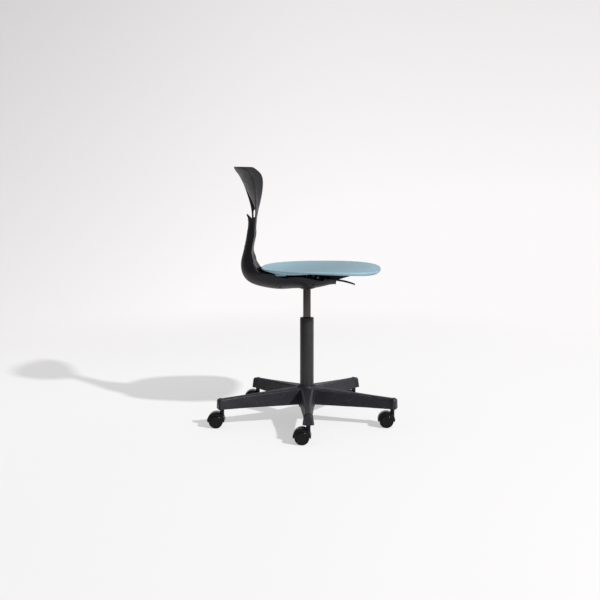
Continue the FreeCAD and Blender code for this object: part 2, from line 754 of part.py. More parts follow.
STATIONS = [
    # underside x, z      mouth x, z       half width
    ((0.438, 0.066), (0.447, 0.138), 0.30),
    ((0.260, 0.041), (0.277, 0.134), 0.51),
    ((0.042, 0.011), (0.071, 0.168), 0.74),
    ((-0.231, 0.006), (-0.189, 0.202), 0.96),
    ((-0.546, 0.009), (-0.408, 0.216), 1.00),
    ((-0.807, 0.067), (-0.560, 0.250), 0.98),
    ((-0.950, 0.168), (-0.722, 0.283), 0.84),
    ((-1.000, 0.323), (-0.786, 0.398), 0.65),
    ((-0.973, 0.493), (-0.817, 0.517), 0.50),
    ((-0.931, 0.659), (-0.803, 0.655), 0.42),
    ((-0.899, 0.830), (-0.776, 0.830), 0.36),
    ((-0.893, 1.000), (-0.759, 1.000), 0.32)]


def station(number):
    """Underside point, mouth point and half width of a station, in mm."""
    (ux, uz), (mx, mz), width = STATIONS[number]
    reach = float(spine_reach)
    rise = float(size("spine_rise"))
    foot = float(spine_z)
    under = Vector(ux * reach, 0, foot + uz * rise)
    mouth = Vector(mx * reach, 0, foot + mz * rise)
    return under, mouth, width * float(size("spine_half_width"))


def trough_arc(number, inset):
    """Three points of a station's arc, set in from the outside of the trough."""
    under, mouth, half = station(number)
    inward = (mouth - under).normalize()
    side = Vector(0, half - inset, 0)
    return mouth - side, under + inward * inset, mouth + side


def upright(height, column):
    """X of the underside (column 0) or of the mouth (column 1) at a height of the upright part."""
    points = [station(number)[column] for number in range(7, len(STATIONS))]
    for low, high in zip(points, points[1:]):
        if low.z <= height <= high.z:
            share = (height - low.z) / (high.z - low.z)
            return low.x + (high.x - low.x) * share
    return points[-1].x


def trough():
    wall = float(size("spine_wall"))
    return loft([arched(trough_arc(n, 0), trough_arc(n, wall)) for n in range(len(STATIONS))])


def trough_filling(inset):
    """The trough's inside, set in from its outside, to trim what stands on its wall or near it."""
    wires = []
    for number in range(len(STATIONS)):
        left, under, right = trough_arc(number, inset)
        wires.append(Part.Wire([arc(left, under, right), line(right, left)]))
    return loft(wires)


def seat_posts():
    rear, rear_side = float(size("post_rear")), float(size("post_rear_side"))
    front, front_side = float(size("post_front")), float(size("post_front_side"))
    return [(-rear, rear_side), (-rear, -rear_side), (front, front_side), (front, -front_side)]


seat_screw_z = spine_z + size("post_height") * 0.6
socket_screw_foot = float(spine_z) + 6.4
back_screws = [spine_top - size("spine_rise") * 0.18, spine_top - size("spine_rise") * 0.40]


def back_screw_seats():
    """X of the plane under each backrest screw's head, with its height."""
    return [(upright(float(z), 0) + float(size("screw_head_height")), float(z)) for z in back_screws]


def seat_saddle():
    """Two cheeks and a front wall under the seat's front; the right cheek starts ahead of the lever."""
    wall = float(size("saddle_wall"))
    half = float(size("saddle_half_width"))
    tip = float(size("saddle_reach"))
    lever_front = float(size("lever_arm") + size("lever_cross") + size("lever_width"))
    rear = {1: float(size("lever_arm")) * 0.3, -1: lever_front + 4}
    foot = float(spine_z)

    def spot(x, y):
        return Vector(x, y, foot)

    edges = [line(spot(rear[sign], sign * half), spot(rear[sign], sign * (half - wall))) for sign in (1, -1)]
    for inset in (0, wall):
        side = half - inset
        front = tip - inset
        bend = float(size("saddle_round")) - inset
        slant = bend * (1 - math.sqrt(0.5))
        for sign in (1, -1):
            edges.append(line(spot(rear[sign], sign * side), spot(front - bend, sign * side)))
            edges.append(arc(spot(front - bend, sign * side), spot(front - slant, sign * (side - slant)),
                             spot(front, sign * (side - bend))))
        edges.append(line(spot(front, side - bend), spot(front, bend - side)))
    walls = prism(edges, Vector(0, 0, 120))

    def under_seat(x):
        along = (x - float(size("seat_forward"))) / (float(size("seat_length")) / 2)
        return Vector(x, -100, seat_height(along, 0) - float(size("seat_wall") + size("saddle_gap")))

    mouths = [station(number)[1] + Vector(0, -100, -1.5) for number in (2, 1, 0)]
    mouths[2].x -= 8
    nose = Vector(tip, -100, foot + float(size("saddle_tip")))
    side_view = mouths + [nose, under_seat(tip), under_seat(rear[1])]
    side_view[0].x = rear[1]
    above = prism([line(a, b) for a, b in zip(side_view, side_view[1:] + side_view[:1])], Vector(0, 200, 0))
    return [walls.common(trough_filling(float(size("spine_wall")) / 2)), walls.common(above)]


def spine_frame():
    foot = float(spine_z)
    filling = trough_filling(float(size("spine_wall")) / 2)
    radius = float(post_r)
    posts = [Part.makeCylinder(radius, float(post_z) - foot, Vector(x, y, foot)).common(filling)
             for x, y in seat_posts()]
    boss_r = float(size("boss_diameter")) / 2
    fairing = float(size("boss_fairing"))
    sleeve_r = float(size("socket_diameter") / 2 + size("boss_wall"))
    boss = [Part.makeCone(sleeve_r, boss_r, fairing, Vector(0, 0, foot)),
            Part.makeCylinder(boss_r, float(boss_top) - foot - fairing, Vector(0, 0, foot + fairing))]
    shape = trough().fuse(posts + boss + seat_saddle())
    tools = [Part.makeCylinder(float(size("socket_diameter") / 2 + fit), 60, Vector(0, 0, foot - 20))]
    for x, y in seat_posts():
        tools.append(Part.makeCylinder(float(screw_r + fit), 80, Vector(x, y, foot)))
        depth = float(seat_screw_z) - foot + 20
        tools.append(Part.makeCylinder(float(head_r + play), depth, Vector(x, y, foot - 20)))
    for x, y in socket_holes():
        foot_of_hole = Vector(float(x), float(y), socket_screw_foot - 0.5)
        tools.append(Part.makeCylinder(float(screw_r + fit), 40, foot_of_hole))
    for x, z in back_screw_seats():
        tools.append(Part.makeCylinder(float(screw_r + fit), 30, Vector(x - 10, 0, z), Vector(1, 0, 0)))
        tools.append(Part.makeCylinder(float(head_r + play), 20, Vector(x, 0, z), Vector(-1, 0, 0)))
    length, width, corner = socket_plate()
    seat = Vector(float(corner[0] - play), float(corner[1] - play), float(boss_top))
    tools.append(Part.makeBox(float(length + play * 2), float(width + play * 2), 30, seat))
    tools.append(lug_shape(float(play)))
    round_r = float(size("spine_end_round"))
    corner = station(len(STATIONS) - 1)[0]
    block = Part.makeBox(round_r + 5, 200, round_r + 5, corner + Vector(-5, -100, -round_r))
    roller = Part.makeCylinder(round_r, 200, corner + Vector(round_r, -100, -round_r), Vector(0, 1, 0))
    tools.append(block.cut(roller))
    return feature("spine_frame", shape.cut(tools).removeSplitter())


def lug_shape(extra):
    """The seat's two side lugs as one bar across, grown by a gap when it is a notch."""
    middle = -float(size("lug_place"))
    half = float(size("lug_width")) / 2
    lean = float(size("lug_taper"))
    low = float(lug_z) - extra
    tall = 40
    outward = lean * tall / 10
    across = float(size("spine_half_width")) + 20
    corners = [(middle - half + lean - extra, low), (middle + half - lean + extra, low),
               (middle + half + outward - lean + extra, low + tall),
               (middle - half - outward + lean - extra, low + tall)]
    points = [Vector(x, -across, z) for x, z in corners]
    return prism([line(a, b) for a, b in zip(points, points[1:] + points[:1])], Vector(0, 2 * across, 0))


# Back: tongue in the trough's mouth, neck, and a fan that curves round the sitter.
# One curved sheet follows the middle line and is cut to the front view's outline.
# The fan goes by shares of its height, of its half width, of its lean and of the rib's depth.

FAN = [
    # height, half width, lean, rib
    (0.12, 0.195, -0.028, 0.99),
    (0.23, 0.375, 0.011, 1.00),
    (0.34, 0.567, 0.119, 0.79),
    (0.46, 0.732, 0.266, 0.53),
    (0.58, 0.858, 0.424, 0.24),
    (0.72, 0.958, 0.605, 0.00)]
FAN_TOP = [(0.86, 0.808), (1.05, 0.985)]
NECK_RIB = 0.80
TONGUE = range(6, len(STATIONS))


def back_sag(half):
    """How far the sheet comes forward at a distance from the middle."""
    radius = float(size("back_radius"))
    return radius - math.sqrt(radius ** 2 - half ** 2)


def tongue_edge(number):
    """Edge of the tongue at a station of the spine, level with the trough's mouth."""
    _, mouth, width = station(number)
    return mouth + Vector(0, width - float(size("spine_wall") + size("tongue_gap")), 0)


def back_middle(height, lean):
    """Front face of the fan in the middle plane, at shares of its height and of its lean."""
    neck = tongue_edge(TONGUE[-1])
    return Vector(neck.x - back_sag(neck.y) - lean * float(size("back_lean")), 0,
                  neck.z + height * float(size("back_height")))


def back_sheet():
    wall = Vector(-float(size("back_wall")), 0, 0)
    half = float(size("back_half_width")) + 10
    edges = [tongue_edge(number) for number in TONGUE]
    middles = [Vector(edge.x - back_sag(edge.y), 0, edge.z) for edge in edges]
    middles += [back_middle(height, lean) for height, _, lean, _ in FAN]
    middles += [back_middle(height, lean) for height, lean in FAN_TOP]
    wires = []
    for middle in middles:
        wing = middle + Vector(back_sag(half), 0, 0)
        front = (wing - Vector(0, half, 0), middle, wing + Vector(0, half, 0))
        wires.append(arched(front, [point + wall for point in front]))
    return loft(wires)


def back_outline():
    """Front view of the back: tongue, flared sides, rounded corners, slightly crowned top."""
    half = float(size("back_half_width"))
    top = float(spine_top + size("back_height"))
    corner = float(size("back_corner"))
    crown = top - float(size("back_crown"))
    slant = corner * (1 - math.sqrt(0.5))
    tongue = [tongue_edge(number) for number in TONGUE]
    neck = tongue[-1]
    rise = float(size("back_height"))
    flare = [neck] + [Vector(0, width * half, neck.z + height * rise) for height, width, _, _ in FAN]
    flare.append(Vector(0, half, crown - corner))
    shoulder = half - corner
    edges = [arc(Vector(-500, shoulder, crown), Vector(-500, 0, top), Vector(-500, -shoulder, crown)),
             line(Vector(-500, tongue[0].y, tongue[0].z), Vector(-500, -tongue[0].y, tongue[0].z))]
    for side in (-1, 1):
        def flat(point):
            return Vector(-500, side * point.y, point.z)
        edges.append(curve([flat(point) for point in tongue]))
        edges.append(curve([flat(point) for point in flare]))
        edges.append(arc(flat(flare[-1]), flat(Vector(0, half - slant, crown - slant)),
                         flat(Vector(0, shoulder, crown))))
    return prism(edges, Vector(600, 0, 0))


def keel():
    """Rib behind the neck that fades into the fan; a pointed slot parts it from the back."""
    wall = float(size("back_wall"))
    depth = float(size("keel_depth"))
    half = float(size("keel_width")) / 2
    foot = -0.18
    rows = [(foot, 0, NECK_RIB), (0, 0, NECK_RIB)] + [(height, lean, rib) for height, _, lean, rib in FAN]
    aside = Vector(-wall / 2, -half, 0)
    front = [back_middle(height, lean) + aside for height, lean, _ in rows]
    rear = [back_middle(height, lean) + Vector(-wall - depth * rib, -half, 0) for height, lean, rib in rows]
    edges = [line(a, b) for a, b in zip(front, front[1:])]
    edges += [line(front[0], rear[0]), line(rear[0], rear[1]), curve(rear[1:]), line(rear[-1], front[-1])]
    rib = prism(edges, Vector(0, 2 * half, 0))
    slot = float(size("keel_slot"))
    rise = float(size("keel_slot_height"))
    face = back_middle(FAN[0][0], FAN[0][2]).x - wall
    low = float(spine_top) + 4
    corners = [(face, low), (face, low + rise), (face - slot, low + rise * 0.65), (face - slot, low)]
    points = [Vector(x, -2 * half, z) for x, z in corners]
    gap = prism([line(a, b) for a, b in zip(points, points[1:] + points[:1])], Vector(0, 4 * half, 0))
    return rib.cut(gap)


def backrest_shell():
    shell = back_sheet().common(back_outline())
    broad = sorted(shell.Faces, key=lambda face: face.Area)[-2:]
    front = max(broad, key=lambda face: face.CenterOfMass.x)
    edges = sorted(front.Edges, key=lambda edge: edge.BoundBox.ZMax)[1:]
    shell = shell.makeFillet(float(size("back_edge")), edges)
    inside = trough_filling(float(size("spine_wall") + play))
    ahead = Vector(1, 0, 0)
    bosses = []
    tools = []
    for _, z in back_screw_seats():
        start = Vector(upright(z, 0), 0, z)
        middle_x = upright(z, 1) - back_sag(0.4 * float(size("spine_half_width")))
        length = middle_x - float(size("back_wall")) / 2 - start.x
        bosses.append(Part.makeCylinder(float(screw_r) + 3.5, length, start, ahead).common(inside))
        tools.append(Part.makeCylinder(float(screw_r + fit), length - 1, start, ahead))
    shape = shell.fuse(bosses + [keel()]).cut(tools)
    return feature("backrest_shell", shape.removeSplitter())


def bag_hook():
    """Spur over the trough's rear lip on a stem that the upper screw's boss passes through."""
    top = float(spine_top)
    rear = back_middle(0, 0).x - float(size("back_wall") + size("keel_depth") * NECK_RIB + play)
    thick = float(size("hook_thickness"))
    rise = float(size("hook_rise"))
    half = float(size("hook_width")) / 2
    lip = station(len(STATIONS) - 1)[0].x
    over = top + float(play)
    screw_z = float(back_screws[0])
    corners = [(rear, screw_z - 14), (rear, top), (lip - 1.5, top + rise), (lip - 4, top + rise - 2),
               (lip + 2.5, over), (rear - thick, over), (rear - thick, screw_z - 14)]
    points = [Vector(x, -half, z) for x, z in corners]
    stem = prism([line(a, b) for a, b in zip(points, points[1:] + points[:1])], Vector(0, 2 * half, 0))
    hole = Part.makeCylinder(float(screw_r + play) + 3.5, 40, Vector(rear - 20, 0, screw_z), Vector(1, 0, 0))
    return feature("bag_hook", stem.cut(hole))


def back_fasteners():
    length = 20
    screw = screw_form("back_screw_form", length)
    turn = Rotation(Vector(0, 1, 0), 90)
    head = float(size("screw_head_height"))
    return copies("backrest_screws", screw,
                  [Placement(Vector(x - head, 0, z), turn) for x, z in back_screw_seats()])


# Seat: a shell lofted across, dished at the rear and raised towards the front,
# cut to a rounded outline and hollow inside its rim

SEAT_ALONG = (-1.04, -0.85, -0.6, -0.3, 0.0, 0.3, 0.6, 0.85, 1.04)
SEAT_ACROSS = (-1.05, -0.85, -0.6, -0.3, 0.0, 0.3, 0.6, 0.85, 1.05)
SEAT_POINTS = 32


def seat_place(along, across, inset=0):
    """X and Y at shares of the seat's half length and half width."""
    x = float(size("seat_forward")) + along * (float(size("seat_length")) / 2 - inset)
    wider = 1 + float(size("seat_flare")) * along
    return x, across * wider * (float(size("seat_width")) / 2 - inset)


def seat_height(along, across):
    """Top face of the seat at shares of its half length and half width."""
    power = float(size("seat_square"))
    rim = float(spine_z + size("seat_rise"))
    rim -= float(size("seat_pitch")) * along + float(size("seat_drop")) * along ** 2
    depth = float(size("seat_dish")) - float(size("seat_roll")) * along
    return rim - depth * (1 - abs(along) ** power - abs(across) ** power)


def seat_layer(upper, lower, growth=0):
    """A solid between two depths under the seat's top face; the lower one grows towards the front."""
    wires = []
    for along in SEAT_ALONG:
        top = []
        for across in SEAT_ACROSS:
            x, y = seat_place(along, across)
            top.append(Vector(x, y, seat_height(along, across) - upper))
        drop = Vector(0, 0, upper - lower - growth * along)
        low = [point + drop for point in top]
        wires.append(Part.Wire([curve(top), line(top[-1], low[-1]), curve(low[::-1]), line(low[0], top[0])]))
    return loft(wires)


def seat_outline(inset):
    """Upright prism of the seat's outline, a squared ellipse that widens to the front."""
    share = 2 / float(size("seat_square"))
    points = []
    for number in range(SEAT_POINTS):
        turn = 2 * math.pi * number / SEAT_POINTS
        along = math.copysign(abs(math.cos(turn)) ** share, math.cos(turn))
        across = math.copysign(abs(math.sin(turn)) ** share, math.sin(turn))
        points.append(Vector(*seat_place(along, across, inset), float(spine_z) - 50))
    rim = Part.BSplineCurve()
    rim.interpolate(points, True)
    return prism([rim.toShape()], Vector(0, 0, 200))


def seat_shell():
    wall = float(size("seat_wall"))
    lip = float(size("seat_lip"))
    growth = float(size("seat_lip_front"))
    shell = seat_layer(0, lip, growth).common(seat_outline(0))
    hollow = seat_layer(wall, lip + 20).common(seat_outline(float(size("seat_lip_width"))))
    under = seat_layer(wall / 2, 70)
    radius = float(post_r)
    start = float(post_z + play)
    bosses = [Part.makeCylinder(radius, 60, Vector(x, y, start)).common(under) for x, y in seat_posts()]
    lugs = lug_shape(0)
    inner = float(size("spine_half_width")) - 8
    outer = float(size("spine_half_width"))
    sides = [Part.makeBox(300, outer - inner, 200, Vector(-300, y, float(spine_z))) for y in (inner, -outer)]
    lugs = [lugs.common(side).common(under) for side in sides]
    pilot = [Part.makeCylinder(float(screw_r + fit), 9, Vector(x, y, start)) for x, y in seat_posts()]
    around = [edge for edge in shell.Edges if edge.Length > 2 * float(size("seat_width"))]
    upper = max(around, key=lambda edge: edge.BoundBox.ZMin)
    shell = shell.makeFillet(float(size("seat_edge")), [upper])
    shape = shell.cut(hollow).fuse(bosses + lugs).cut(pilot)
    return feature("seat_shell", shape.removeSplitter())


def seat_fasteners():
    length = post_z + 8 - seat_screw_z + size("screw_head_height")
    screw = screw_form("seat_screw_form", length)
    low = float(seat_screw_z - size("screw_head_height"))
    return copies("seat_screws", screw,
                  [Placement(Vector(x, y, low), Rotation()) for x, y in seat_posts()])


def socket_fasteners():
    head_z = boss_top + size("socket_plate") + size("screw_head_height")
    screw = screw_form("socket_screw_form", head_z - socket_screw_foot)
    head = float(head_z)
    turn = Rotation(Vector(1, 0, 0), 180)
    return copies("socket_screws", screw,
                  [Placement(Vector(float(x), float(y), head), turn) for x, y in socket_holes()])


# All sub-parts, checked and written

parts = castors() + [star_base()] + gas_lift() + taper_socket()
parts += [height_lever(), spine_frame(), backrest_shell(), bag_hook(), seat_shell()]
parts += [back_fasteners(), seat_fasteners(), socket_fasteners()]
doc.recompute()

for item in doc.Objects:
    if "Invalid" in item.State or "Error" in item.State:
        raise SystemExit(f"{item.Label}: {item.State}")
os.makedirs("parts", exist_ok=True)
for part in parts:
    shape = part.Shape
    if shape.isNull() or not shape.isValid() or shape.Volume <= 0:
        raise SystemExit(f"{part.Label}: no valid shape")
    shape.exportStep(f"parts/{part.Label}.step")
print(len(parts), "sub-parts written")
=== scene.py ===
# %% [markdown]
# # A swivel chair for the school desk
# The chair is already built as solids: a five-leg base on castors, a gas lift, a moulded spine,
# a dished seat and a fan-shaped back. This lesson dresses those solids. It loads them as a fixed
# frame first, because every new piece takes its place and its size from them. The sizes of pieces
# are in millimetres below, and MM turns them into Blender's metres.

# %% Load the solids
import math

import bmesh
import bpy
from bmesh.types import BMEdge, BMVert
from mathutils import Matrix, Vector


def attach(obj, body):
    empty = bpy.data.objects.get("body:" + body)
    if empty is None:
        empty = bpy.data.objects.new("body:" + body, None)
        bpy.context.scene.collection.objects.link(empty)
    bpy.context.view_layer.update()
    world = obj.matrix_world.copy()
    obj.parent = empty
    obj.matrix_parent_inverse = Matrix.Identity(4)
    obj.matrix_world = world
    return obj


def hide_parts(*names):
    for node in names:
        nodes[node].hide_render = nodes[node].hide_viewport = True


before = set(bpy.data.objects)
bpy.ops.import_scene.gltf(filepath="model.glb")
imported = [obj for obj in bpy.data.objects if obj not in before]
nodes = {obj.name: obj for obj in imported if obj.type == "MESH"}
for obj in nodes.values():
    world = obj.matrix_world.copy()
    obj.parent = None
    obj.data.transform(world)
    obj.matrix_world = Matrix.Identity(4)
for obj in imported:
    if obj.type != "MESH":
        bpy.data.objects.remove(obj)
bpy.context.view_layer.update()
MM = 0.001

# %% [markdown]
# ## The camera
# The chair is seen from its right-hand side, a little from the front and from above the seat.
# Lines that are parallel on the chair draw together with distance, so the camera stands at a
# measured place in the room instead of only pointing the right way.

# %% Place the camera
CAMERA_DISTANCE = 3.580
CAMERA_HEIGHT = 0.919
CAMERA_TURN = math.radians(2.3)
CAMERA_PITCH = math.radians(7.55)
CAMERA_PAN = math.radians(0.40)
SENSOR_MM = 36.0
LENS_MM = 60.0


def put(name, data):
    """A new object in the scene, at the origin."""
    made = bpy.data.objects.new(name, data)
    bpy.context.scene.collection.objects.link(made)
    return made


camera_data = bpy.data.cameras.new("camera")
camera_data.sensor_width = SENSOR_MM
camera_data.lens = LENS_MM
camera = put("camera", camera_data)
camera.location = (CAMERA_DISTANCE * math.sin(CAMERA_TURN),
                   -CAMERA_DISTANCE * math.cos(CAMERA_TURN), CAMERA_HEIGHT)
heading = CAMERA_TURN + CAMERA_PAN
looking = Vector((-math.sin(heading) * math.cos(CAMERA_PITCH),
                  math.cos(heading) * math.cos(CAMERA_PITCH), -math.sin(CAMERA_PITCH)))
camera.rotation_mode = "QUATERNION"
camera.rotation_quaternion = looking.to_track_quat("-Z", "Y")
bpy.context.scene.camera = camera
bpy.context.scene.view_settings.view_transform = "Standard"
print("camera at", [round(value, 3) for value in camera.location])

# %% [markdown]
# ## Colours and nodes
# Colours are written as hex values, the way they are read from a colour card. The shader wants
# linear light, so one function turns them. A second one adds a node, sets it and links it, and a
# third starts an empty material. Every finish below is made with those three. Patterns follow the
# Object coordinates, which are true metres on each piece and stay with it when it moves.

# %% Three helpers for every finish


def linear(code):
    """Linear red, green, blue and alpha of an sRGB hex colour."""
    parts = [int(code[place:place + 2], 16) / 255 for place in (1, 3, 5)]
    return [part / 12.92 if part <= 0.04045 else ((part + 0.055) / 1.055) ** 2.4
            for part in parts] + [1.0]


def add_node(tree, kind, inputs=None, **settings):
    """One node with its settings; an input is given a value, or a socket to be linked to."""
    made = tree.nodes.new(kind)
    for name, value in settings.items():
        setattr(made, name, value)
    for name, value in (inputs or {}).items():
        if isinstance(value, bpy.types.NodeSocket):
            tree.links.new(value, made.inputs[name])
        else:
            made.inputs[name].default_value = value
    return made


def blank_material(name):
    """An empty material, its node tree, and the place on the piece as a socket."""
    made = bpy.data.materials.new(name)
    made.use_nodes = True
    tree = made.node_tree
    tree.nodes.clear()
    return made, tree, add_node(tree, "ShaderNodeTexCoord").outputs["Object"]


print("blue of the seat in linear light:", [round(value, 3) for value in linear("#829fac")])

# %% [markdown]
# ## Moulded plastic
# Nearly everything here is injection-moulded. The mould's spark-eroded skin gives the plastic a
# fine grain, and hands, clothes and shoes polish and scuff it unevenly, most of all along its
# edges. Such marks could be painted on an image, but noise needs no file and fits any shape. So
# each plastic is one Principled shader with two close colours in soft clouds, a roughness that
# drifts, thin pale scuffs, paler edges and a grain as bump. The paler edges are partly rubbing and
# partly a painted highlight, the thin line of light that a rounded edge catches. Where the edges
# lie is told by a number on each vertex, "edge_wear_and_sheen", which the modelling below writes.

# %% One recipe for the moulded plastics
SCUFF_MM = 5
SCUFF_STRETCH = (0.12, 1.0, 1.0)  # eight times as long as wide
SCUFF_LEAN = (0.3, 0.2, 0.5)
SCUFF_BAND = {"From Min": 0.62, "From Max": 0.74}
RUB_AND_SHEEN_MM = 14
RUB_AND_SHEEN_BAND = {"From Min": 0.35, "From Max": 0.65, "To Max": 0.8}
POLISH_FINER = 2.6
GLOSS_BAND = {"From Min": 0.3, "From Max": 0.7}
GRAIN_STRENGTH = 0.6


def moulded(name, dark, light, cloud_mm, rough, grain_mm, depth_mm, specular, scuff_and_sheen, scuff_share):
    """A grained plastic with scuffs and paler edges of one colour, the edges partly a painted
    highlight; scuff_share is how strongly the thin scuffs show.
    """
    made, tree, place = blank_material(name)
    clouds = add_node(tree, "ShaderNodeTexNoise", {
        "Vector": place, "Scale": 1 / (cloud_mm * MM), "Detail": 3.0})
    plain = add_node(tree, "ShaderNodeMix", {
        "Factor": clouds.outputs["Fac"], "A": linear(dark), "B": linear(light)}, data_type="RGBA")

    # thin scuffs everywhere, and paler patches along the edges: partly rubbing, partly a painted
    # highlight
    lying = add_node(tree, "ShaderNodeMapping", {
        "Vector": place, "Scale": SCUFF_STRETCH, "Rotation": SCUFF_LEAN})
    marks = add_node(tree, "ShaderNodeTexNoise", {
        "Vector": lying.outputs["Vector"], "Scale": 1 / (SCUFF_MM * MM), "Detail": 4.0})
    thin = add_node(tree, "ShaderNodeMapRange", {
        "Value": marks.outputs["Fac"], "To Max": scuff_share, **SCUFF_BAND})
    patchy = add_node(tree, "ShaderNodeTexNoise", {
        "Vector": place, "Scale": 1 / (RUB_AND_SHEEN_MM * MM), "Detail": 3.0})
    rub_and_sheen = add_node(tree, "ShaderNodeMapRange", {"Value": patchy.outputs["Fac"], **RUB_AND_SHEEN_BAND})
    # the paler colour on the edges is partly rubbing and partly a painted highlight
    worn_and_sheen = add_node(tree, "ShaderNodeAttribute", attribute_name="edge_wear_and_sheen")
    rubbed_and_sheen = add_node(tree, "ShaderNodeMath", {
        0: worn_and_sheen.outputs["Fac"], 1: rub_and_sheen.outputs["Result"]}, operation="MULTIPLY")
    marked_and_sheen = add_node(tree, "ShaderNodeMath", {
        0: thin.outputs["Result"], 1: rubbed_and_sheen.outputs["Value"]}, operation="MAXIMUM")
    colour = add_node(tree, "ShaderNodeMix", {
        "Factor": marked_and_sheen.outputs["Value"], "A": plain.outputs["Result"], "B": linear(scuff_and_sheen)},
        data_type="RGBA")

    # a gloss that drifts, and the grain of the mould
    polish = add_node(tree, "ShaderNodeTexNoise", {
        "Vector": place, "Scale": POLISH_FINER / (cloud_mm * MM), "Detail": 4.0})
    gloss = add_node(tree, "ShaderNodeMapRange", {
        "Value": polish.outputs["Fac"], "To Min": rough[0], "To Max": rough[1], **GLOSS_BAND})
    grain = add_node(tree, "ShaderNodeTexNoise", {
        "Vector": place, "Scale": 1 / (grain_mm * MM), "Detail": 2.0})
    bump = add_node(tree, "ShaderNodeBump", {
        "Height": grain.outputs["Fac"], "Strength": GRAIN_STRENGTH, "Distance": depth_mm * MM})
    shader = add_node(tree, "ShaderNodeBsdfPrincipled", {
        "Base Color": colour.outputs["Result"], "Roughness": gloss.outputs["Result"],
        "Normal": bump.outputs["Normal"], "Specular IOR Level": specular})
    add_node(tree, "ShaderNodeOutputMaterial", {"Surface": shader.outputs["BSDF"]})
    return made


print("scuffs", SCUFF_MM, "mm wide, rubbed patches", RUB_AND_SHEEN_MM, "mm")

# %% [markdown]
# Seven finishes come from that recipe. They differ in colour and gloss, and in the grain, which is
# about 0.3 mm on the real plastics. That is too fine to show at this distance, so it is drawn a few
# times coarser.

# %% Mix the plastics and the coating
# Polypropylene is a little waxy: wide soft light and no mirror image.
blue_polypropylene = moulded(
    "moulded_blue_polypropylene", dark="#829fac", light="#8ca6b2", cloud_mm=70, rough=(0.57, 0.62),
    grain_mm=1.1, depth_mm=0.02, specular=0.20, scuff_and_sheen="#9ab8c4", scuff_share=0.25)
# The glass fibres in this nylon scatter the light, so its black is soft and grey at the edges.
black_nylon = moulded(
    "moulded_black_glass_filled_nylon", dark="#121115", light="#19181d", cloud_mm=45,
    rough=(0.38, 0.50), grain_mm=1.0, depth_mm=0.03, specular=0.25, scuff_and_sheen="#47464b",
    scuff_share=0.30)
# The base has a coarser grain that hides kicks, and the shoes have scuffed it most.
base_nylon = moulded(
    "moulded_black_base_nylon", dark="#16161b", light="#202026", cloud_mm=60, rough=(0.42, 0.56),
    grain_mm=1.3, depth_mm=0.05, specular=0.26, scuff_and_sheen="#4a4a50", scuff_share=0.40)
# The castors come out of a polished mould: deep black with small bright glints.
castor_nylon = moulded(
    "moulded_glossy_castor_nylon", dark="#08080b", light="#0e0e12", cloud_mm=20,
    rough=(0.18, 0.28), grain_mm=0.8, depth_mm=0.01, specular=0.16, scuff_and_sheen="#232326",
    scuff_share=0.30)
# Polyurethane runs on the floor, which leaves it dull and dusty.
tread_rubber = moulded(
    "cast_polyurethane_tread", dark="#0f0f11", light="#171719", cloud_mm=15, rough=(0.50, 0.65),
    grain_mm=0.8, depth_mm=0.03, specular=0.25, scuff_and_sheen="#3c3a38", scuff_share=0.35)
# Acetal is smooth from the lathe and slippery, with an even satin shine.
bush_acetal = moulded(
    "machined_black_acetal", dark="#121214", light="#18181a", cloud_mm=15, rough=(0.38, 0.46),
    grain_mm=0.8, depth_mm=0.01, specular=0.30, scuff_and_sheen="#242426", scuff_share=0.20)
# Powder coat melts on the steel into a fine orange peel, 2 mm wide, that breaks up its shine.
powder_coat = moulded(
    "powder_coated_black_steel", dark="#1a1a1b", light="#222223", cloud_mm=40, rough=(0.30, 0.42),
    grain_mm=2.2, depth_mm=0.04, specular=0.42, scuff_and_sheen="#3c3a38", scuff_share=0.20)
print("plastics and coatings:", len(bpy.data.materials))

# %% [markdown]
# ## Bare metal
# The gas cylinder is hard-chromed and ground along its length, the screws, the stems and the socket
# are blackened, and the pins and the bearing are zinc-plated steel. A metal is all reflection, so
# its colour is its tint, and its life comes from fine lines in the roughness. Anisotropic gloss
# would draw ground lines too, but lines in a noise also show as lines when they are seen close by.

# %% One recipe for the metals


def plated(name, dark, light, rough, line_mm, stretch):
    """A metal with fine marks, line_mm wide and stretch times as long, upright on the part."""
    made, tree, place = blank_material(name)
    upright = add_node(tree, "ShaderNodeMapping", {"Vector": place, "Scale": (1, 1, 1 / stretch)})
    marks = add_node(tree, "ShaderNodeTexNoise", {
        "Vector": upright.outputs["Vector"], "Scale": 1 / (line_mm * MM), "Detail": 3.0})
    colour = add_node(tree, "ShaderNodeMix", {
        "Factor": marks.outputs["Fac"], "A": linear(dark), "B": linear(light)}, data_type="RGBA")
    gloss = add_node(tree, "ShaderNodeMapRange", {
        "Value": marks.outputs["Fac"], "To Min": rough[0], "To Max": rough[1], **GLOSS_BAND})
    shader = add_node(tree, "ShaderNodeBsdfPrincipled", {
        "Base Color": colour.outputs["Result"], "Metallic": 1.0,
        "Roughness": gloss.outputs["Result"]})
    add_node(tree, "ShaderNodeOutputMaterial", {"Surface": shader.outputs["BSDF"]})
    return made


# Real grinding lines and crystals are finer than 0.1 mm, so they are drawn coarser to show.
# Ground chrome is a dark mirror here, drawn out into upright streaks.
dark_chrome = plated("ground_hard_chrome", dark="#383534", light="#5a5554", rough=(0.14, 0.24),
                     line_mm=1.6, stretch=30)
# Zinc is pale and cloudy, with a dull shine.
zinc_steel = plated("zinc_plated_steel", dark="#8d9095", light="#a6a9ad", rough=(0.28, 0.40),
                    line_mm=1.5, stretch=1)
# Blackened steel is oily and dark, and shines only where the light strikes it.
black_screw = plated("blackened_screw_steel", dark="#2a2a2c", light="#3a3a3c", rough=(0.35, 0.45),
                     line_mm=1.2, stretch=1)
print("materials:", len(bpy.data.materials))

# %% [markdown]
# ## A finish for every solid
# Some solids are hidden or right as they are, and they stay in view without a new piece. So every
# solid gets the finish of its real material first. A finish is found by how the solid's name
# begins, and whatever isn't named there is zinc-plated.

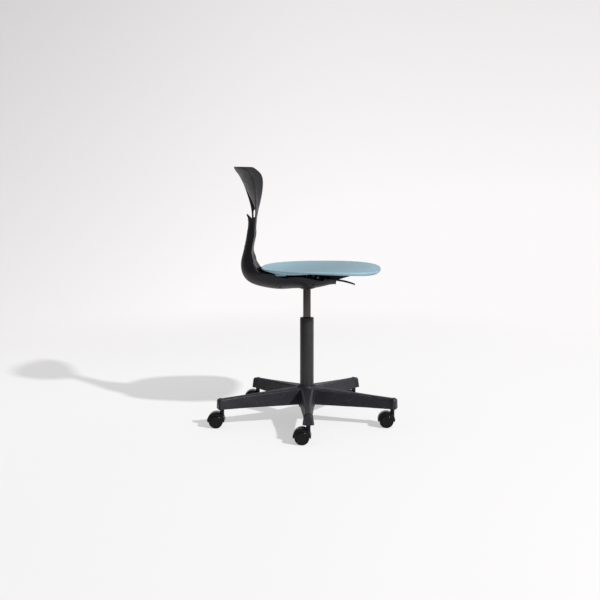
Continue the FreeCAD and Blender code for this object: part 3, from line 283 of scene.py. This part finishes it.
# %% Give every solid its finish
FINISHES = {
    "seat_shell": blue_polypropylene, "spine_frame": black_nylon, "backrest_shell": black_nylon,
    "bag_hook": black_nylon, "height_lever": black_nylon, "star_base": base_nylon,
    "column_tube": powder_coat, "guide_bush": bush_acetal, "gas_cylinder": dark_chrome,
    "seat_screws": black_screw, "backrest_screws": black_screw, "socket_screws": black_screw,
    "taper_socket": black_screw, "castor_stem": black_screw, "castor_hood": castor_nylon,
    "castor_wheel": castor_nylon, "castor_tread": tread_rubber}
for name, solid in nodes.items():
    finish = next((FINISHES[key] for key in FINISHES if name.startswith(key)), zinc_steel)
    solid.data.materials.clear()
    solid.data.materials.append(finish)
print("finishes given:", len(nodes))

# %% [markdown]
# ## From a form to a piece
# A form is modelled in a bmesh, Blender's own mesh kit for scripts. When it is done, its doubled
# points are merged, its faces are turned outwards and it becomes an object. It rides on the body
# that carries it, so it moves with the chair's joints, and it stands in for the solids it replaces.
# Faces that meet at a shallow angle are shaded as one smooth surface.

# %% Turn a form into a piece
WELD = 0.005 * MM
SMOOTH_TURN = math.radians(38)


def make_piece(form, name, finish, body, slot, *solids):
    """The form becomes an object on a body, in the place of some solids."""
    bmesh.ops.remove_doubles(form, verts=form.verts, dist=WELD)
    bmesh.ops.recalc_face_normals(form, faces=form.faces)
    mesh = bpy.data.meshes.new(name)
    form.to_mesh(mesh)
    form.free()
    mesh.shade_smooth()
    mesh.set_sharp_from_angle(angle=SMOOTH_TURN)
    mesh.materials.append(finish)
    made = put(name, mesh)
    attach(made, body)
    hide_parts(*solids)
    return made


print("points closer than", WELD, "m are merged in every piece")

# %% [markdown]
# ## Softened mouldings
# The spine, the back, the base, the lever and the hook have edges as sharp as a knife in the solids.
# No moulding has such edges: the steel of the mould is polished, and the corners come out round by
# a millimetre or so, which is what catches a thin line of light. The steel stems of the castors are
# broken at their edges in the same way. The forms themselves are right, so a copy of each solid is
# merged, its flat triangles are joined, and every edge that turns sharply is bevelled. A Bevel
# modifier would do the same, but here the middle of each rounded edge can be marked for the paler
# edge colour, which stands for rubbing and is also a painted highlight along the edge. Edges
# shorter than a hair are left out, as a bevel throws spikes there.

# %% Round the edges of a copy
HAIR = 0.3 * MM
FLAT_TURN = math.radians(0.3)
SHARP_TURN = math.radians(28)


def soften(node, radius_mm):
    """A copy of a solid with its sharp edges rounded."""
    form = bmesh.new()
    form.from_mesh(nodes[node].data)
    bmesh.ops.remove_doubles(form, verts=form.verts, dist=WELD)
    bmesh.ops.dissolve_limit(form, angle_limit=FLAT_TURN, verts=form.verts, edges=form.edges)
    # marks the rounded edges for the paler colour: partly rubbing, partly a painted highlight
    edge_wear_and_sheen = form.verts.layers.float.new("edge_wear_and_sheen")
    sharp = [edge for edge in form.edges
             if edge.calc_face_angle(0) > SHARP_TURN and edge.calc_length() > HAIR]
    made = bmesh.ops.bevel(form, geom=sharp, offset=radius_mm * MM, affect="EDGES", segments=3,
                           profile=0.5, material=-1)
    rounded = set(made["faces"])
    for vert in made["verts"]:
        vert[edge_wear_and_sheen] = 1.0 if all(face in rounded for face in vert.link_faces) else 0.0
    print(node, "edges rounded:", len(sharp))
    return form


LEGS = 5
# solid, radius of its edges, finish, body and slot
MOULDINGS = [("spine_frame", 0.9, black_nylon, "seat", "frame_plastic"),
             ("backrest_shell", 0.9, black_nylon, "seat", "frame_plastic"),
             ("bag_hook", 0.6, black_nylon, "seat", "frame_plastic"),
             ("height_lever", 1.0, black_nylon, "lever", "frame_plastic"),
             ("star_base", 1.2, base_nylon, "base", "base_plastic")]
MOULDINGS += [(f"castor_stem_{number + 1}", 0.3, black_screw, "base", "bright_steel")
              for number in range(LEGS)]
for node, radius_mm, finish, body, slot in MOULDINGS:
    make_piece(soften(node, radius_mm), node + "_moulding", finish, body, slot, node)

# %% [markdown]
# ## The seat
# One sheet of blue polypropylene: a dish at the rear, a roll that lifts towards the front edge, and
# a rim turned down all round. Seen from above it is a squared ellipse that widens to the front, and
# the same curve shapes the dish. It could be sculpted, or built as a cage for a Subdivision Surface,
# but one formula gives outline and dish together and stays close to the solid. The rim leans in a
# little all round and most at the front, where the edge rolls away under the knees.

# %% The seat's formula
SEAT_MIDDLE = 51.2
SEAT_HALF_LENGTH = 213.5
SEAT_HALF_WIDTH = 215.0
SEAT_FLARE = 0.12
SEAT_POWER = 2.8
RIM_HEIGHT = 567.8
RIM_SLOPE = 0.9
RIM_BOW = 3.4
DISH_DEPTH = 11.7
DISH_LIFT = 26.0
FRONT_LEAN = 2.2
LEAN_POWER = 4


def seat_height(along, across):
    """Height of the top face at shares of the half length and the half width."""
    rim = RIM_HEIGHT - RIM_SLOPE * along - RIM_BOW * along ** 2
    depth = DISH_DEPTH - DISH_LIFT * along
    return rim - depth * (1 - abs(along) ** SEAT_POWER - abs(across) ** SEAT_POWER)


def seat_point(along, across, inset, drop):
    """A point of the seat, in metres: so far in from the outline, so far under the top face."""
    inset *= 1 + FRONT_LEAN * max(0.0, along) ** LEAN_POWER
    x = SEAT_MIDDLE + along * (SEAT_HALF_LENGTH - inset)
    y = across * (SEAT_HALF_WIDTH - inset) * (1 + SEAT_FLARE * along)
    return Vector((x, y, seat_height(along, across) - drop)) * MM


print("seat's middle lies at height", round(seat_height(0, 0), 1), "mm")

# %% [markdown]
# The top face starts as Blender's flat square grid. Each of its points is first drawn into a circle
# and then out to the squared ellipse, which keeps the faces even right up to the edge, and is lifted
# onto the dish. The function also gives the border's edges, from which the rim will grow.

# %% Draw a grid into the outline
GRID = 72
EDGE_ROUND = 2.5


def round_share(one, other):
    """A square's coordinate drawn into a circle."""
    return one * math.sqrt(1 - other ** 2 / 2)


def seat_grid(form, inset, drop):
    """A grid in the seat's outline; gives its border edges, and each point's shares."""
    made = bmesh.ops.create_grid(form, x_segments=GRID, y_segments=GRID, size=1.0)["verts"]
    shares = {}
    for vert in made:
        right, up = round_share(vert.co.x, vert.co.y), round_share(vert.co.y, vert.co.x)
        reach, turn = math.hypot(right, up), math.atan2(up, right)
        squared = [math.copysign(abs(value) ** (2 / SEAT_POWER), value) * reach
                   for value in (math.cos(turn), math.sin(turn))]
        shares[vert] = squared
        vert.co = seat_point(squared[0], squared[1], inset, drop)
    edges = dict.fromkeys(edge for vert in made for edge in vert.link_edges)
    return [edge for edge in edges if edge.is_boundary], shares


seat = bmesh.new()
border, shares = seat_grid(seat, EDGE_ROUND, 0)
print("top of the seat:", len(seat.faces), "faces")

# %% [markdown]
# The border is extruded step by step: round the rolled edge, down the rim, round its foot and up
# inside. There it is bridged to a second grid, the underside. A Solidify modifier would give the
# wall as well, but not a rim that leans in and hangs lower at the front.

# %% Roll the border over, down and under
SEAT_WALL = 5.5
RIM_DROP = 9.2
RIM_DROP_AHEAD = 4.3
RIM_WIDTH = 6.0
UNDERCUT = 3.4
LOW_ROUND = 1.0
OUTER_BREAK = 0.5
INNER_BREAK = 0.3
INNER_LEAST = SEAT_WALL + 0.1
UNDER_INSET = 1.5
ROLL_STEPS = 4
WALL_SHARES = (0.25, 0.5, 0.75)


def only(kind, items):
    """The points, or the edges, among what an operator gives back."""
    return [item for item in items if isinstance(item, kind)]


def roll_on(border, inset, drop_at):
    """Extrudes the seat's border to an inset, and to a depth that goes with the length."""
    old = {vert for edge in border for vert in edge.verts}
    places = {tuple(vert.co): shares[vert] for vert in old}
    grown = bmesh.ops.extrude_edge_only(seat, edges=border)["geom"]
    for vert in only(BMVert, grown):
        along, across = places[tuple(vert.co)]
        shares[vert] = (along, across)
        vert.co = seat_point(along, across, inset, drop_at(along))
    return [edge for edge in only(BMEdge, grown) if edge.is_boundary]


def rim_depth(along):
    """How far the rim hangs under the top face, at a share of the half length."""
    return RIM_DROP + RIM_DROP_AHEAD * along


for step in range(1, ROLL_STEPS + 1):
    angle = math.radians(90) * step / ROLL_STEPS
    border = roll_on(border, EDGE_ROUND * (1 - math.sin(angle)),
                     lambda along: EDGE_ROUND * (1 - math.cos(angle)))
for share in WALL_SHARES:
    border = roll_on(border, UNDERCUT * share ** 2,
                     lambda along: EDGE_ROUND + (rim_depth(along) - LOW_ROUND - EDGE_ROUND) * share)
border = roll_on(border, UNDERCUT, lambda along: rim_depth(along) - OUTER_BREAK)
border = roll_on(border, UNDERCUT + OUTER_BREAK, rim_depth)
border = roll_on(border, RIM_WIDTH - LOW_ROUND, rim_depth)
border = roll_on(border, RIM_WIDTH - INNER_BREAK, lambda along: rim_depth(along) - INNER_BREAK)
border = roll_on(border, RIM_WIDTH, lambda along: max(rim_depth(along) - LOW_ROUND, INNER_LEAST))
under, _ = seat_grid(seat, RIM_WIDTH + UNDER_INSET, SEAT_WALL)
bmesh.ops.bridge_loops(seat, edges=border + under)
print("seat with its rim:", len(seat.faces), "faces")

# %% [markdown]
# Two lugs hang from the seat into notches of the spine. A lug is a slanted outline, filled, extruded
# through its thickness and bevelled. A cube could be pulled into that shape, but an outline says
# where its corners are. Both lugs are joined to the seat, which is then finished.

# %% Hang the lugs under the seat
LUG_MIDDLE = -88.0
LUG_HALF_LOW = 16
LUG_HALF_HIGH = 23.2
LUG_LOW = 540.5
LUG_HIGH = 547.0
LUG_SIDES = (87.0, 95.0)
LUG_ROUND = 1.2


def join(form, other, matrix=Matrix()):
    """Adds a second form, moved by a matrix, to the first."""
    mesh = bpy.data.meshes.new("joined")
    other.to_mesh(mesh)
    other.free()
    mesh.transform(matrix)
    form.from_mesh(mesh)
    bpy.data.meshes.remove(mesh)


def thickened(outline, near, far):
    """A block: an outline of (x, z) corners in mm, filled and extruded from one y to another."""
    form = bmesh.new()
    face = form.faces.new([form.verts.new((x * MM, near * MM, z * MM)) for x, z in outline])
    deep = bmesh.ops.extrude_face_region(form, geom=[face])["geom"]
    bmesh.ops.translate(form, vec=(0, (far - near) * MM, 0), verts=only(BMVert, deep))
    return form


LUG = [(LUG_MIDDLE - LUG_HALF_LOW, LUG_LOW), (LUG_MIDDLE + LUG_HALF_LOW, LUG_LOW),
       (LUG_MIDDLE + LUG_HALF_HIGH, LUG_HIGH), (LUG_MIDDLE - LUG_HALF_HIGH, LUG_HIGH)]
for side in (-1, 1):
    lug = thickened(LUG, side * LUG_SIDES[0], side * LUG_SIDES[1])
    bmesh.ops.bevel(lug, geom=lug.edges[:], offset=LUG_ROUND * MM, affect="EDGES", segments=3,
                    profile=0.5, material=-1)
    join(seat, lug)
made = make_piece(seat, "seat_moulding", blue_polypropylene, "seat", "seat_plastic", "seat_shell")
print("seat's faces:", len(made.data.polygons))

# %% [markdown]
# Four bosses under the seat take its screws. Their black finish is painted shade: the hollow under
# the seat lies deep in shade, and the bosses are coloured black to show it. Like every turned part
# below, a boss is a profile of a few points whose corners are rounded and which is then spun round
# its axis. A cylinder with a hole cut by a Boolean would be the other way, but a profile brings the
# rounded corners and the flared end along.

# %% Turn the bosses
ON_AXIS = 0.01 * MM
BOSS_PLACES = ((-95, 48), (-95, -48), (22, 45), (22, -45))
BOSS_BORE_R = 2.55
BOSS_R = 8.0
BOSS_FLARE_R = 10.0
BOSS_FLARE = 3
BOSS_LOW = 533.3
BOSS_SINK = 1.5
BOSS_ROUND = 0.5


def turned(profile, round_mm, steps=48, closed=True):
    """A form spun round Z from (radius, height) corners in mm, each corner rounded a little."""
    form = bmesh.new()
    points = [form.verts.new((radius * MM, 0, height * MM)) for radius, height in profile]
    ring = points + points[:1] if closed else points
    for start, end in zip(ring, ring[1:]):
        form.edges.new((start, end))
    corners = [point for point in points if point.co.x > ON_AXIS and len(point.link_edges) == 2]
    bmesh.ops.bevel(form, geom=corners, offset=round_mm * MM, affect="VERTICES", segments=3,
                    profile=0.5, material=-1)
    bmesh.ops.spin(form, geom=form.verts[:] + form.edges[:], cent=(0, 0, 0), axis=(0, 0, 1),
                   angle=math.tau, steps=steps, use_merge=True)
    bmesh.ops.remove_doubles(form, verts=form.verts, dist=WELD)
    return form


bosses = bmesh.new()
for x, y in BOSS_PLACES:
    along = (x - SEAT_MIDDLE) / SEAT_HALF_LENGTH
    across = y / (SEAT_HALF_WIDTH * (1 + SEAT_FLARE * along))
    top = seat_height(along, across) - SEAT_WALL + BOSS_SINK
    boss = turned([(BOSS_BORE_R, BOSS_LOW), (BOSS_R, BOSS_LOW), (BOSS_R, top - BOSS_FLARE),
                   (BOSS_FLARE_R, top), (BOSS_BORE_R, top)], BOSS_ROUND, steps=32)
    join(bosses, boss, Matrix.Translation((x * MM, y * MM, 0)))
# the black finish here is painted shade for the hollow under the seat
made = make_piece(bosses, "seat_bosses", black_nylon, "seat", "frame_plastic", "seat_shell")
print("bosses' faces:", len(made.data.polygons))

# %% [markdown]
# ## The gas lift
# The outer tube, the guide bush in its mouth and the chromed cylinder are turned parts. Each is a
# closed profile of the wall, rounded at its corners by as much as the real part is broken there,
# and spun round the chair's axis.

# %% Turn the tube, the bush and the cylinder
# solid, finish, body, slot, radius of its corners, and corners as (radius, height)
TURNED = [
    ("column_tube", powder_coat, "base", "column_paint", 0.6,
     [(4.05, 50), (23.5, 50), (25, 133), (25, 380), (23, 380), (23, 133), (21.5, 54), (4.05, 54)]),
    ("guide_bush", bush_acetal, "base", "bush_plastic", 0.3,
     [(14.05, 290), (22.97, 290), (22.97, 380), (24, 380), (24, 381), (18, 382), (14.05, 382)]),
    ("gas_cylinder", dark_chrome, "seat", "cylinder_chrome", 0.5,
     [(5.05, 294), (14, 294), (14, 485.6), (13.2, 516), (3.05, 516), (3.05, 496), (12, 496),
      (12, 304), (5.05, 304)])]
for node, finish, body, slot, round_mm, profile in TURNED:
    made = make_piece(turned(profile, round_mm, steps=96), node + "_turned", finish, body, slot, node)
    print(made.name, "faces:", len(made.data.polygons))

# %% [markdown]
# ## Screws
# Four screws go up into the seat, two from behind into the back and four down through the flange of
# the socket. Each has a low head with a hexagon socket for the key. The screw's outline is spun with
# the middle of its head left open, a hexagon is bridged to that opening, extruded into the head and
# closed. The threads are left off, as they are buried in the plastic.

# %% Make the screws
HEAD_R = 4.5
HEAD_HEIGHT = 2.2
HEAD_CHAMFER = 0.6
MOUTH_R = 3.0
SHANK_R = 2.5
TIP = 1
KEY_R = 1.8
KEY_DEPTH = 1.3
SCREW_ROUND = 0.2


def screw(length):
    """A screw of a length in mm that points up, with the face of its head at zero."""
    form = turned([(MOUTH_R, 0), (HEAD_R - HEAD_CHAMFER, 0), (HEAD_R, HEAD_CHAMFER),
                   (HEAD_R, HEAD_HEIGHT), (SHANK_R, HEAD_HEIGHT), (SHANK_R, length - TIP),
                   (SHANK_R - TIP, length), (0, length)], SCREW_ROUND, steps=36, closed=False)
    border = [edge for edge in form.edges if edge.is_boundary]
    corners = bmesh.ops.create_circle(form, cap_ends=False, segments=6, radius=KEY_R * MM)["verts"]
    hexagon = list(dict.fromkeys(edge for corner in corners for edge in corner.link_edges))
    bmesh.ops.bridge_loops(form, edges=border + hexagon)
    deep = bmesh.ops.extrude_edge_only(form, edges=hexagon)["geom"]
    bmesh.ops.translate(form, vec=(0, 0, KEY_DEPTH * MM), verts=only(BMVert, deep))
    bottom = [edge for edge in only(BMEdge, deep) if edge.is_boundary]
    bmesh.ops.contextual_create(form, geom=bottom)
    return form


UP = Matrix()
FORWARD = Matrix.Rotation(math.radians(90), 4, "Y")
DOWN = Matrix.Rotation(math.radians(180), 4, "X")
# solid, length, the way the screws point, and where the faces of their heads lie
SCREWS = [("seat_screws", 29.1, UP, [(x, y, 511.9) for x, y in BOSS_PLACES]),
          ("backrest_screws", 20.0, FORWARD, [(-214.4, 0, 692.57), (-225.1, 0, 637.04)]),
          ("socket_screws", 12.2, DOWN,
           [(x, y, 504.2) for x in (-16.12, 16.12) for y in (-18.72, 18.72)])]
for node, length, turn, places in SCREWS:
    group = bmesh.new()
    for place in places:
        join(group, screw(length), Matrix.Translation(Vector(place) * MM) @ turn)
    made = make_piece(group, node + "_turned", black_screw, "seat", "screw_steel", node)
    print(made.name, "faces:", len(made.data.polygons))

# %% [markdown]
# ## Castors
# Each castor has two wheels on one axle under a hood, behind its stem. The wheel is a rim with a
# shallow cone inside it and a wide snap-on cap, the tread a soft ring on the rim. Both are turned
# for each wheel, laid on their side and moved to the axle. All five castors trail the same way.

# %% Turn the wheels and the treads
LEG_TURN = -86.8
STEM_RING = 319.0
TRAIL = 21.0
WHEEL_R = 25.0
WHEEL_SIDE = 5.5
WHEEL_ROUND = 0.25
TREAD_ROUND = 0.9
# (radius, side) corners: bore, hub, cone, rim, groove and cap
WHEEL = [(3.05, 0), (7, 0), (7, 12), (19.5, 11), (19.5, 1), (22.5, 1), (22.5, 15.3), (21.7, 16.1),
         (20.8, 16.1), (20.5, 15.0), (20.0, 15.0), (19.6, 15.8), (18.7, 16.5), (17.3, 16.9),
         (15.5, 17.0), (0, 16.5), (0, 14), (3.05, 14)]
TREAD = [(22.5, 1), (WHEEL_R, 1), (WHEEL_R, 15.5), (22.5, 15.5)]


def axle_place(number):
    """The middle of a castor's axle, which trails behind the stem at the end of its leg."""
    turn = math.radians(LEG_TURN + number * 360 / LEGS)
    stem = Vector((STEM_RING * math.cos(turn), STEM_RING * math.sin(turn), 0)) * MM
    return stem + Vector((-TRAIL, 0, WHEEL_R)) * MM


for number in range(LEGS):
    for name, side in (("right", -1), ("left", 1)):
        middle = axle_place(number) + Vector((0, side * WHEEL_SIDE * MM, 0))
        onto_axle = Matrix.Translation(middle) @ Matrix.Rotation(-side * math.radians(90), 4, "X")
        wheel = turned(WHEEL, WHEEL_ROUND, steps=64)
        tread = turned(TREAD, TREAD_ROUND, steps=64)
        for form, part, finish, slot in ((wheel, "wheel", castor_nylon, "castor_plastic"),
                                         (tread, "tread", tread_rubber, "tread_rubber")):
            bmesh.ops.transform(form, matrix=onto_axle, verts=form.verts)
            make_piece(form, f"{part}_{name}_{number + 1}", finish, f"wheel_{name}_{number + 1}",
                       slot, f"castor_{part}_{name}_{number + 1}")
print("wheels and treads:", LEGS * 4)

# %% [markdown]
# The hood is a curved cover over both wheels, open at the sides, with a web between the wheels and
# a neck that goes up to the stem. The cover is the outline of its wall spun a little more than half
# round the axle, and drawn in to a rounded end on both sides. The web is a disc of the same turn
# with a hub in it, and the neck a block whose foot follows the cover. The parts overlap, as welded
# shapes do, so no Boolean has to cut them to each other.

# %% Spin the cover and cut the neck
HOOD_R = 31.5
HOOD_INNER = 26.3
HOOD_SKIRT = 4  # how far the cover reaches below the axle
HOOD_DIP = math.asin(HOOD_SKIRT / HOOD_R)
NECK_HALF = 7.5
NECK_TOP = 65.5
NECK_SINK = 1.2
NECK_ROUND = 4.5
NECK_STEPS = 4
UPRIGHT_RISE = 8
COVER_STEPS = 44


def spun_cover(outline):
    """A closed (radius, side) outline spun round the axle from one low end over the top."""
    form = bmesh.new()
    low = Matrix.Rotation(HOOD_DIP, 3, "Y")
    points = [form.verts.new(low @ Vector((radius, side, 0)) * MM) for radius, side in outline]
    face = form.faces.new(points)
    bmesh.ops.spin(form, geom=[face] + face.edges[:] + points, cent=(0, 0, 0), axis=(0, -1, 0),
                   angle=math.pi + 2 * HOOD_DIP, steps=COVER_STEPS)
    return form


def neck_block():
    """The neck's side view, its foot on the cover, extruded through its width and bevelled."""
    foot = [TRAIL + NECK_HALF - step * 2 * NECK_HALF / NECK_STEPS for step in range(NECK_STEPS + 1)]
    outline = [(x, math.sqrt((HOOD_R - NECK_SINK) ** 2 - x ** 2)) for x in foot]
    top = NECK_TOP - WHEEL_R
    outline += [(TRAIL - NECK_HALF, top), (TRAIL + NECK_HALF, top)]
    form = thickened(outline, -NECK_HALF, NECK_HALF)
    upright = [edge for edge in form.edges
               if abs(edge.verts[0].co.z - edge.verts[1].co.z) > UPRIGHT_RISE * MM]
    bmesh.ops.bevel(form, geom=upright, offset=NECK_ROUND * MM, affect="EDGES", segments=5,
                    profile=0.5, material=-1)
    return form


print("cover turns by", round(math.degrees(math.pi + 2 * HOOD_DIP)), "degrees")

# %% Put the hoods together
HOOD_HALF = 19.5
HOOD_EDGE = ((1.6, 0), (0.5, 0.5), (0, 1.8))  # down from the top, in from the side
HOOD_END = math.radians(18)
END_THINNEST = 0.2
WEB_HALF = 4.5
WEB_INNER = 0.5
WEB_OUTER = HOOD_INNER + 0.8
HUB_BORE_R = 3.03
HUB_R = 8
HUB_ROUND = 0.4


def hood():
    """A hood with its axle at the origin: cover, web, hub and neck."""
    half = [(HOOD_INNER, -HOOD_HALF)] + [(HOOD_R - low, side - HOOD_HALF) for low, side in HOOD_EDGE]
    form = spun_cover(half + [(radius, -side) for radius, side in reversed(half)])
    for vert in form.verts:
        radius, turn = math.hypot(vert.co.x, vert.co.z), math.atan2(vert.co.z, vert.co.x)
        if turn < -math.pi / 2:
            turn += math.tau
        near = min(1.0, max(0.0, (min(turn, math.pi - turn) + HOOD_DIP) / HOOD_END))
        wall = max(END_THINNEST, math.sqrt(1 - (1 - near) ** 2))
        drawn_in = (HOOD_INNER * MM + (radius - HOOD_INNER * MM) * wall) / radius
        vert.co.x *= drawn_in
        vert.co.z *= drawn_in
    join(form, spun_cover([(WEB_INNER, -WEB_HALF), (WEB_OUTER, -WEB_HALF), (WEB_OUTER, WEB_HALF),
                           (WEB_INNER, WEB_HALF)]))
    hub = turned([(HUB_BORE_R, -WEB_HALF), (HUB_R, -WEB_HALF), (HUB_R, WEB_HALF),
                  (HUB_BORE_R, WEB_HALF)], HUB_ROUND)
    join(form, hub, Matrix.Rotation(math.radians(90), 4, "X"))
    join(form, neck_block())
    return form


for number in range(LEGS):
    form = hood()
    bmesh.ops.translate(form, vec=axle_place(number), verts=form.verts)
    made = make_piece(form, f"hood_{number + 1}", castor_nylon, f"castor_{number + 1}",
                      "castor_plastic", f"castor_hood_{number + 1}")
print("a hood's faces:", len(made.data.polygons))

# %% [markdown]
# ## The paper on the floor
# The chair stands on a wide sheet of white paper, which keeps its shadow. Half of what is seen of
# the paper is a plain glow, as if it were lit from behind, so the shadow stays pale. The glow rises
# a little towards the far left, where the lamp's own light falls off. The paper fades into the room
# far away and near the camera, and from below it is clear, so that the chair's underside can be
# looked at. Only the camera, mirrors and glass see the glow, and it gives the chair no light.

# %% Find out which rays see the studio


def seen_rays(tree):
    """A socket that is 1 for rays from the camera, a glossy face or glass, and else 0."""
    rays = add_node(tree, "ShaderNodeLightPath").outputs
    seen = add_node(tree, "ShaderNodeMath", {
        0: rays["Is Camera Ray"], 1: rays["Is Glossy Ray"]}, operation="ADD")
    seen = add_node(tree, "ShaderNodeMath", {
        0: seen.outputs["Value"], 1: rays["Is Transmission Ray"]}, operation="ADD", use_clamp=True)
    return seen.outputs["Value"]


print("the glow is seen, and lights nothing")

# %% Lay the floor
FLOOR_RADIUS = 12.0
FAR_FADE = {"From Min": 1.45, "From Max": 3.2}
NEAR_FADE = {"From Min": -1.7, "From Max": -3.4}
PAPER_GLOW = 0.50
GLOW_MIDDLE = 0.96
GLOW_RISE = 0.14
GLOW_MOST = 1.08
GLOW_WAY = (-0.6, 0.8, 0.0)  # to the far left
SOFT_STEP = 0.1

form = bmesh.new()
bmesh.ops.create_circle(form, cap_ends=True, cap_tris=False, segments=96, radius=FLOOR_RADIUS)
floor_mesh = bpy.data.meshes.new("floor")
form.to_mesh(floor_mesh)
form.free()
floor = put("floor", floor_mesh)

paper, tree, place = blank_material("matt_white_paper")
glow = add_node(tree, "ShaderNodeMath", {0: seen_rays(tree), 1: PAPER_GLOW}, operation="MULTIPLY")
away = add_node(tree, "ShaderNodeVectorMath", {0: place, 1: GLOW_WAY}, operation="DOT_PRODUCT")
even = add_node(tree, "ShaderNodeMath", {
    0: away.outputs["Value"], 1: GLOW_RISE, 2: GLOW_MIDDLE}, operation="MULTIPLY_ADD")
even = add_node(tree, "ShaderNodeMath", {
    0: even.outputs["Value"], 1: GLOW_MOST, 2: SOFT_STEP}, operation="SMOOTH_MIN")
matt = add_node(tree, "ShaderNodeBsdfDiffuse", {"Color": linear("#edecec")})
white = add_node(tree, "ShaderNodeEmission", {
    "Color": linear("#fffefe"), "Strength": even.outputs["Value"]})
sheet = add_node(tree, "ShaderNodeMixShader", {
    0: glow.outputs["Value"], 1: matt.outputs["BSDF"], 2: white.outputs["Emission"]})
print("floor radius:", FLOOR_RADIUS, "m")

# %% Let the paper fade out
radius = add_node(tree, "ShaderNodeVectorMath", {0: place}, operation="LENGTH")
far = add_node(tree, "ShaderNodeMapRange", {"Value": radius.outputs["Value"], **FAR_FADE},
               interpolation_type="SMOOTHSTEP")
depth = add_node(tree, "ShaderNodeSeparateXYZ", {"Vector": place})
near = add_node(tree, "ShaderNodeMapRange", {"Value": depth.outputs["Y"], **NEAR_FADE},
                interpolation_type="SMOOTHSTEP")
fade = add_node(tree, "ShaderNodeMath", {
    0: far.outputs["Result"], 1: near.outputs["Result"]}, operation="MAXIMUM")
below = add_node(tree, "ShaderNodeNewGeometry")
fade = add_node(tree, "ShaderNodeMath", {
    0: fade.outputs["Value"], 1: below.outputs["Backfacing"]}, operation="MAXIMUM")
clear = add_node(tree, "ShaderNodeBsdfTransparent")
both = add_node(tree, "ShaderNodeMixShader", {
    0: fade.outputs["Value"], 1: sheet.outputs["Shader"], 2: clear.outputs["BSDF"]})
add_node(tree, "ShaderNodeOutputMaterial", {"Surface": both.outputs["Shader"]})
floor_mesh.materials.append(paper)
print("paper ends", FAR_FADE["From Max"], "m from the chair")

# %% [markdown]
# ## The light
# The room is a plain gradient: pale behind the chair, a little darker upwards and to the left, and
# grey on the camera's side. Black plastic and chrome mirror that grey in their middle and the pale
# wall along their edges, which is what draws their form. As a light the room is even and weak. One
# small lamp from the front and the right gives the shadow. A Sun lamp would give it too, but a lamp
# at a distance also lets the shadow grow wider, as a real one does.

# %% Paint the room
ROOM_LIGHT = 0.33
PALE_MIDDLE = 0.975
PALE_PER_SIDE = 0.65
PALE_PER_HEIGHT = -0.68
PALE_CAP = 0.945
PALE_RANGE = {"Min": 0.15, "Max": 0.97}
GREY_SIDE = {"From Min": -0.45, "From Max": 0.15, "To Min": 0.55}  # by how far back one looks

room = bpy.data.worlds.new("pale_room")
room.use_nodes = True
bpy.context.scene.world = room
tree = room.node_tree
tree.nodes.clear()
way = add_node(tree, "ShaderNodeTexCoord").outputs["Generated"]
side, depth, height = add_node(tree, "ShaderNodeSeparateXYZ", {"Vector": way}).outputs
pale = add_node(tree, "ShaderNodeMath", {
    0: side, 1: PALE_PER_SIDE, 2: PALE_MIDDLE}, operation="MULTIPLY_ADD")
pale = add_node(tree, "ShaderNodeMath", {
    0: pale.outputs["Value"], 1: PALE_CAP, 2: SOFT_STEP}, operation="SMOOTH_MIN")
pale = add_node(tree, "ShaderNodeMath", {
    0: height, 1: PALE_PER_HEIGHT, 2: pale.outputs["Value"]}, operation="MULTIPLY_ADD")
pale = add_node(tree, "ShaderNodeClamp", {"Value": pale.outputs["Value"], **PALE_RANGE})
wall = add_node(tree, "ShaderNodeMapRange", {"Value": depth, **GREY_SIDE},
                interpolation_type="SMOOTHSTEP")
pale = add_node(tree, "ShaderNodeMath", {
    0: pale.outputs["Result"], 1: wall.outputs["Result"]}, operation="MULTIPLY")
strength = add_node(tree, "ShaderNodeMix", {
    "Factor": seen_rays(tree), "A": ROOM_LIGHT, "B": pale.outputs["Value"]}, data_type="FLOAT")
light = add_node(tree, "ShaderNodeBackground", {
    "Color": linear("#fffdfd"), "Strength": strength.outputs["Result"]})
add_node(tree, "ShaderNodeOutputWorld", {"Surface": light.outputs["Background"]})
print("the room lights the chair with", ROOM_LIGHT)

# %% Hang the lamp
LAMP_STRENGTH = 4000
LAMP_RADIUS = 0.18
LAMP_DISTANCE = 9.0
LAMP_HEIGHT = math.radians(38)
LAMP_SIDE = math.radians(-40.5)

lamp_data = bpy.data.lights.new("key_lamp", "POINT")
lamp_data.shadow_soft_size = LAMP_RADIUS
lamp_data.energy = LAMP_STRENGTH
lamp = put("key_lamp", lamp_data)
lamp_from = Vector((math.cos(LAMP_SIDE) * math.cos(LAMP_HEIGHT),
                    math.sin(LAMP_SIDE) * math.cos(LAMP_HEIGHT), math.sin(LAMP_HEIGHT)))
lamp.location = lamp_from * LAMP_DISTANCE
print("lamp shines from", [round(value, 2) for value in lamp_from])
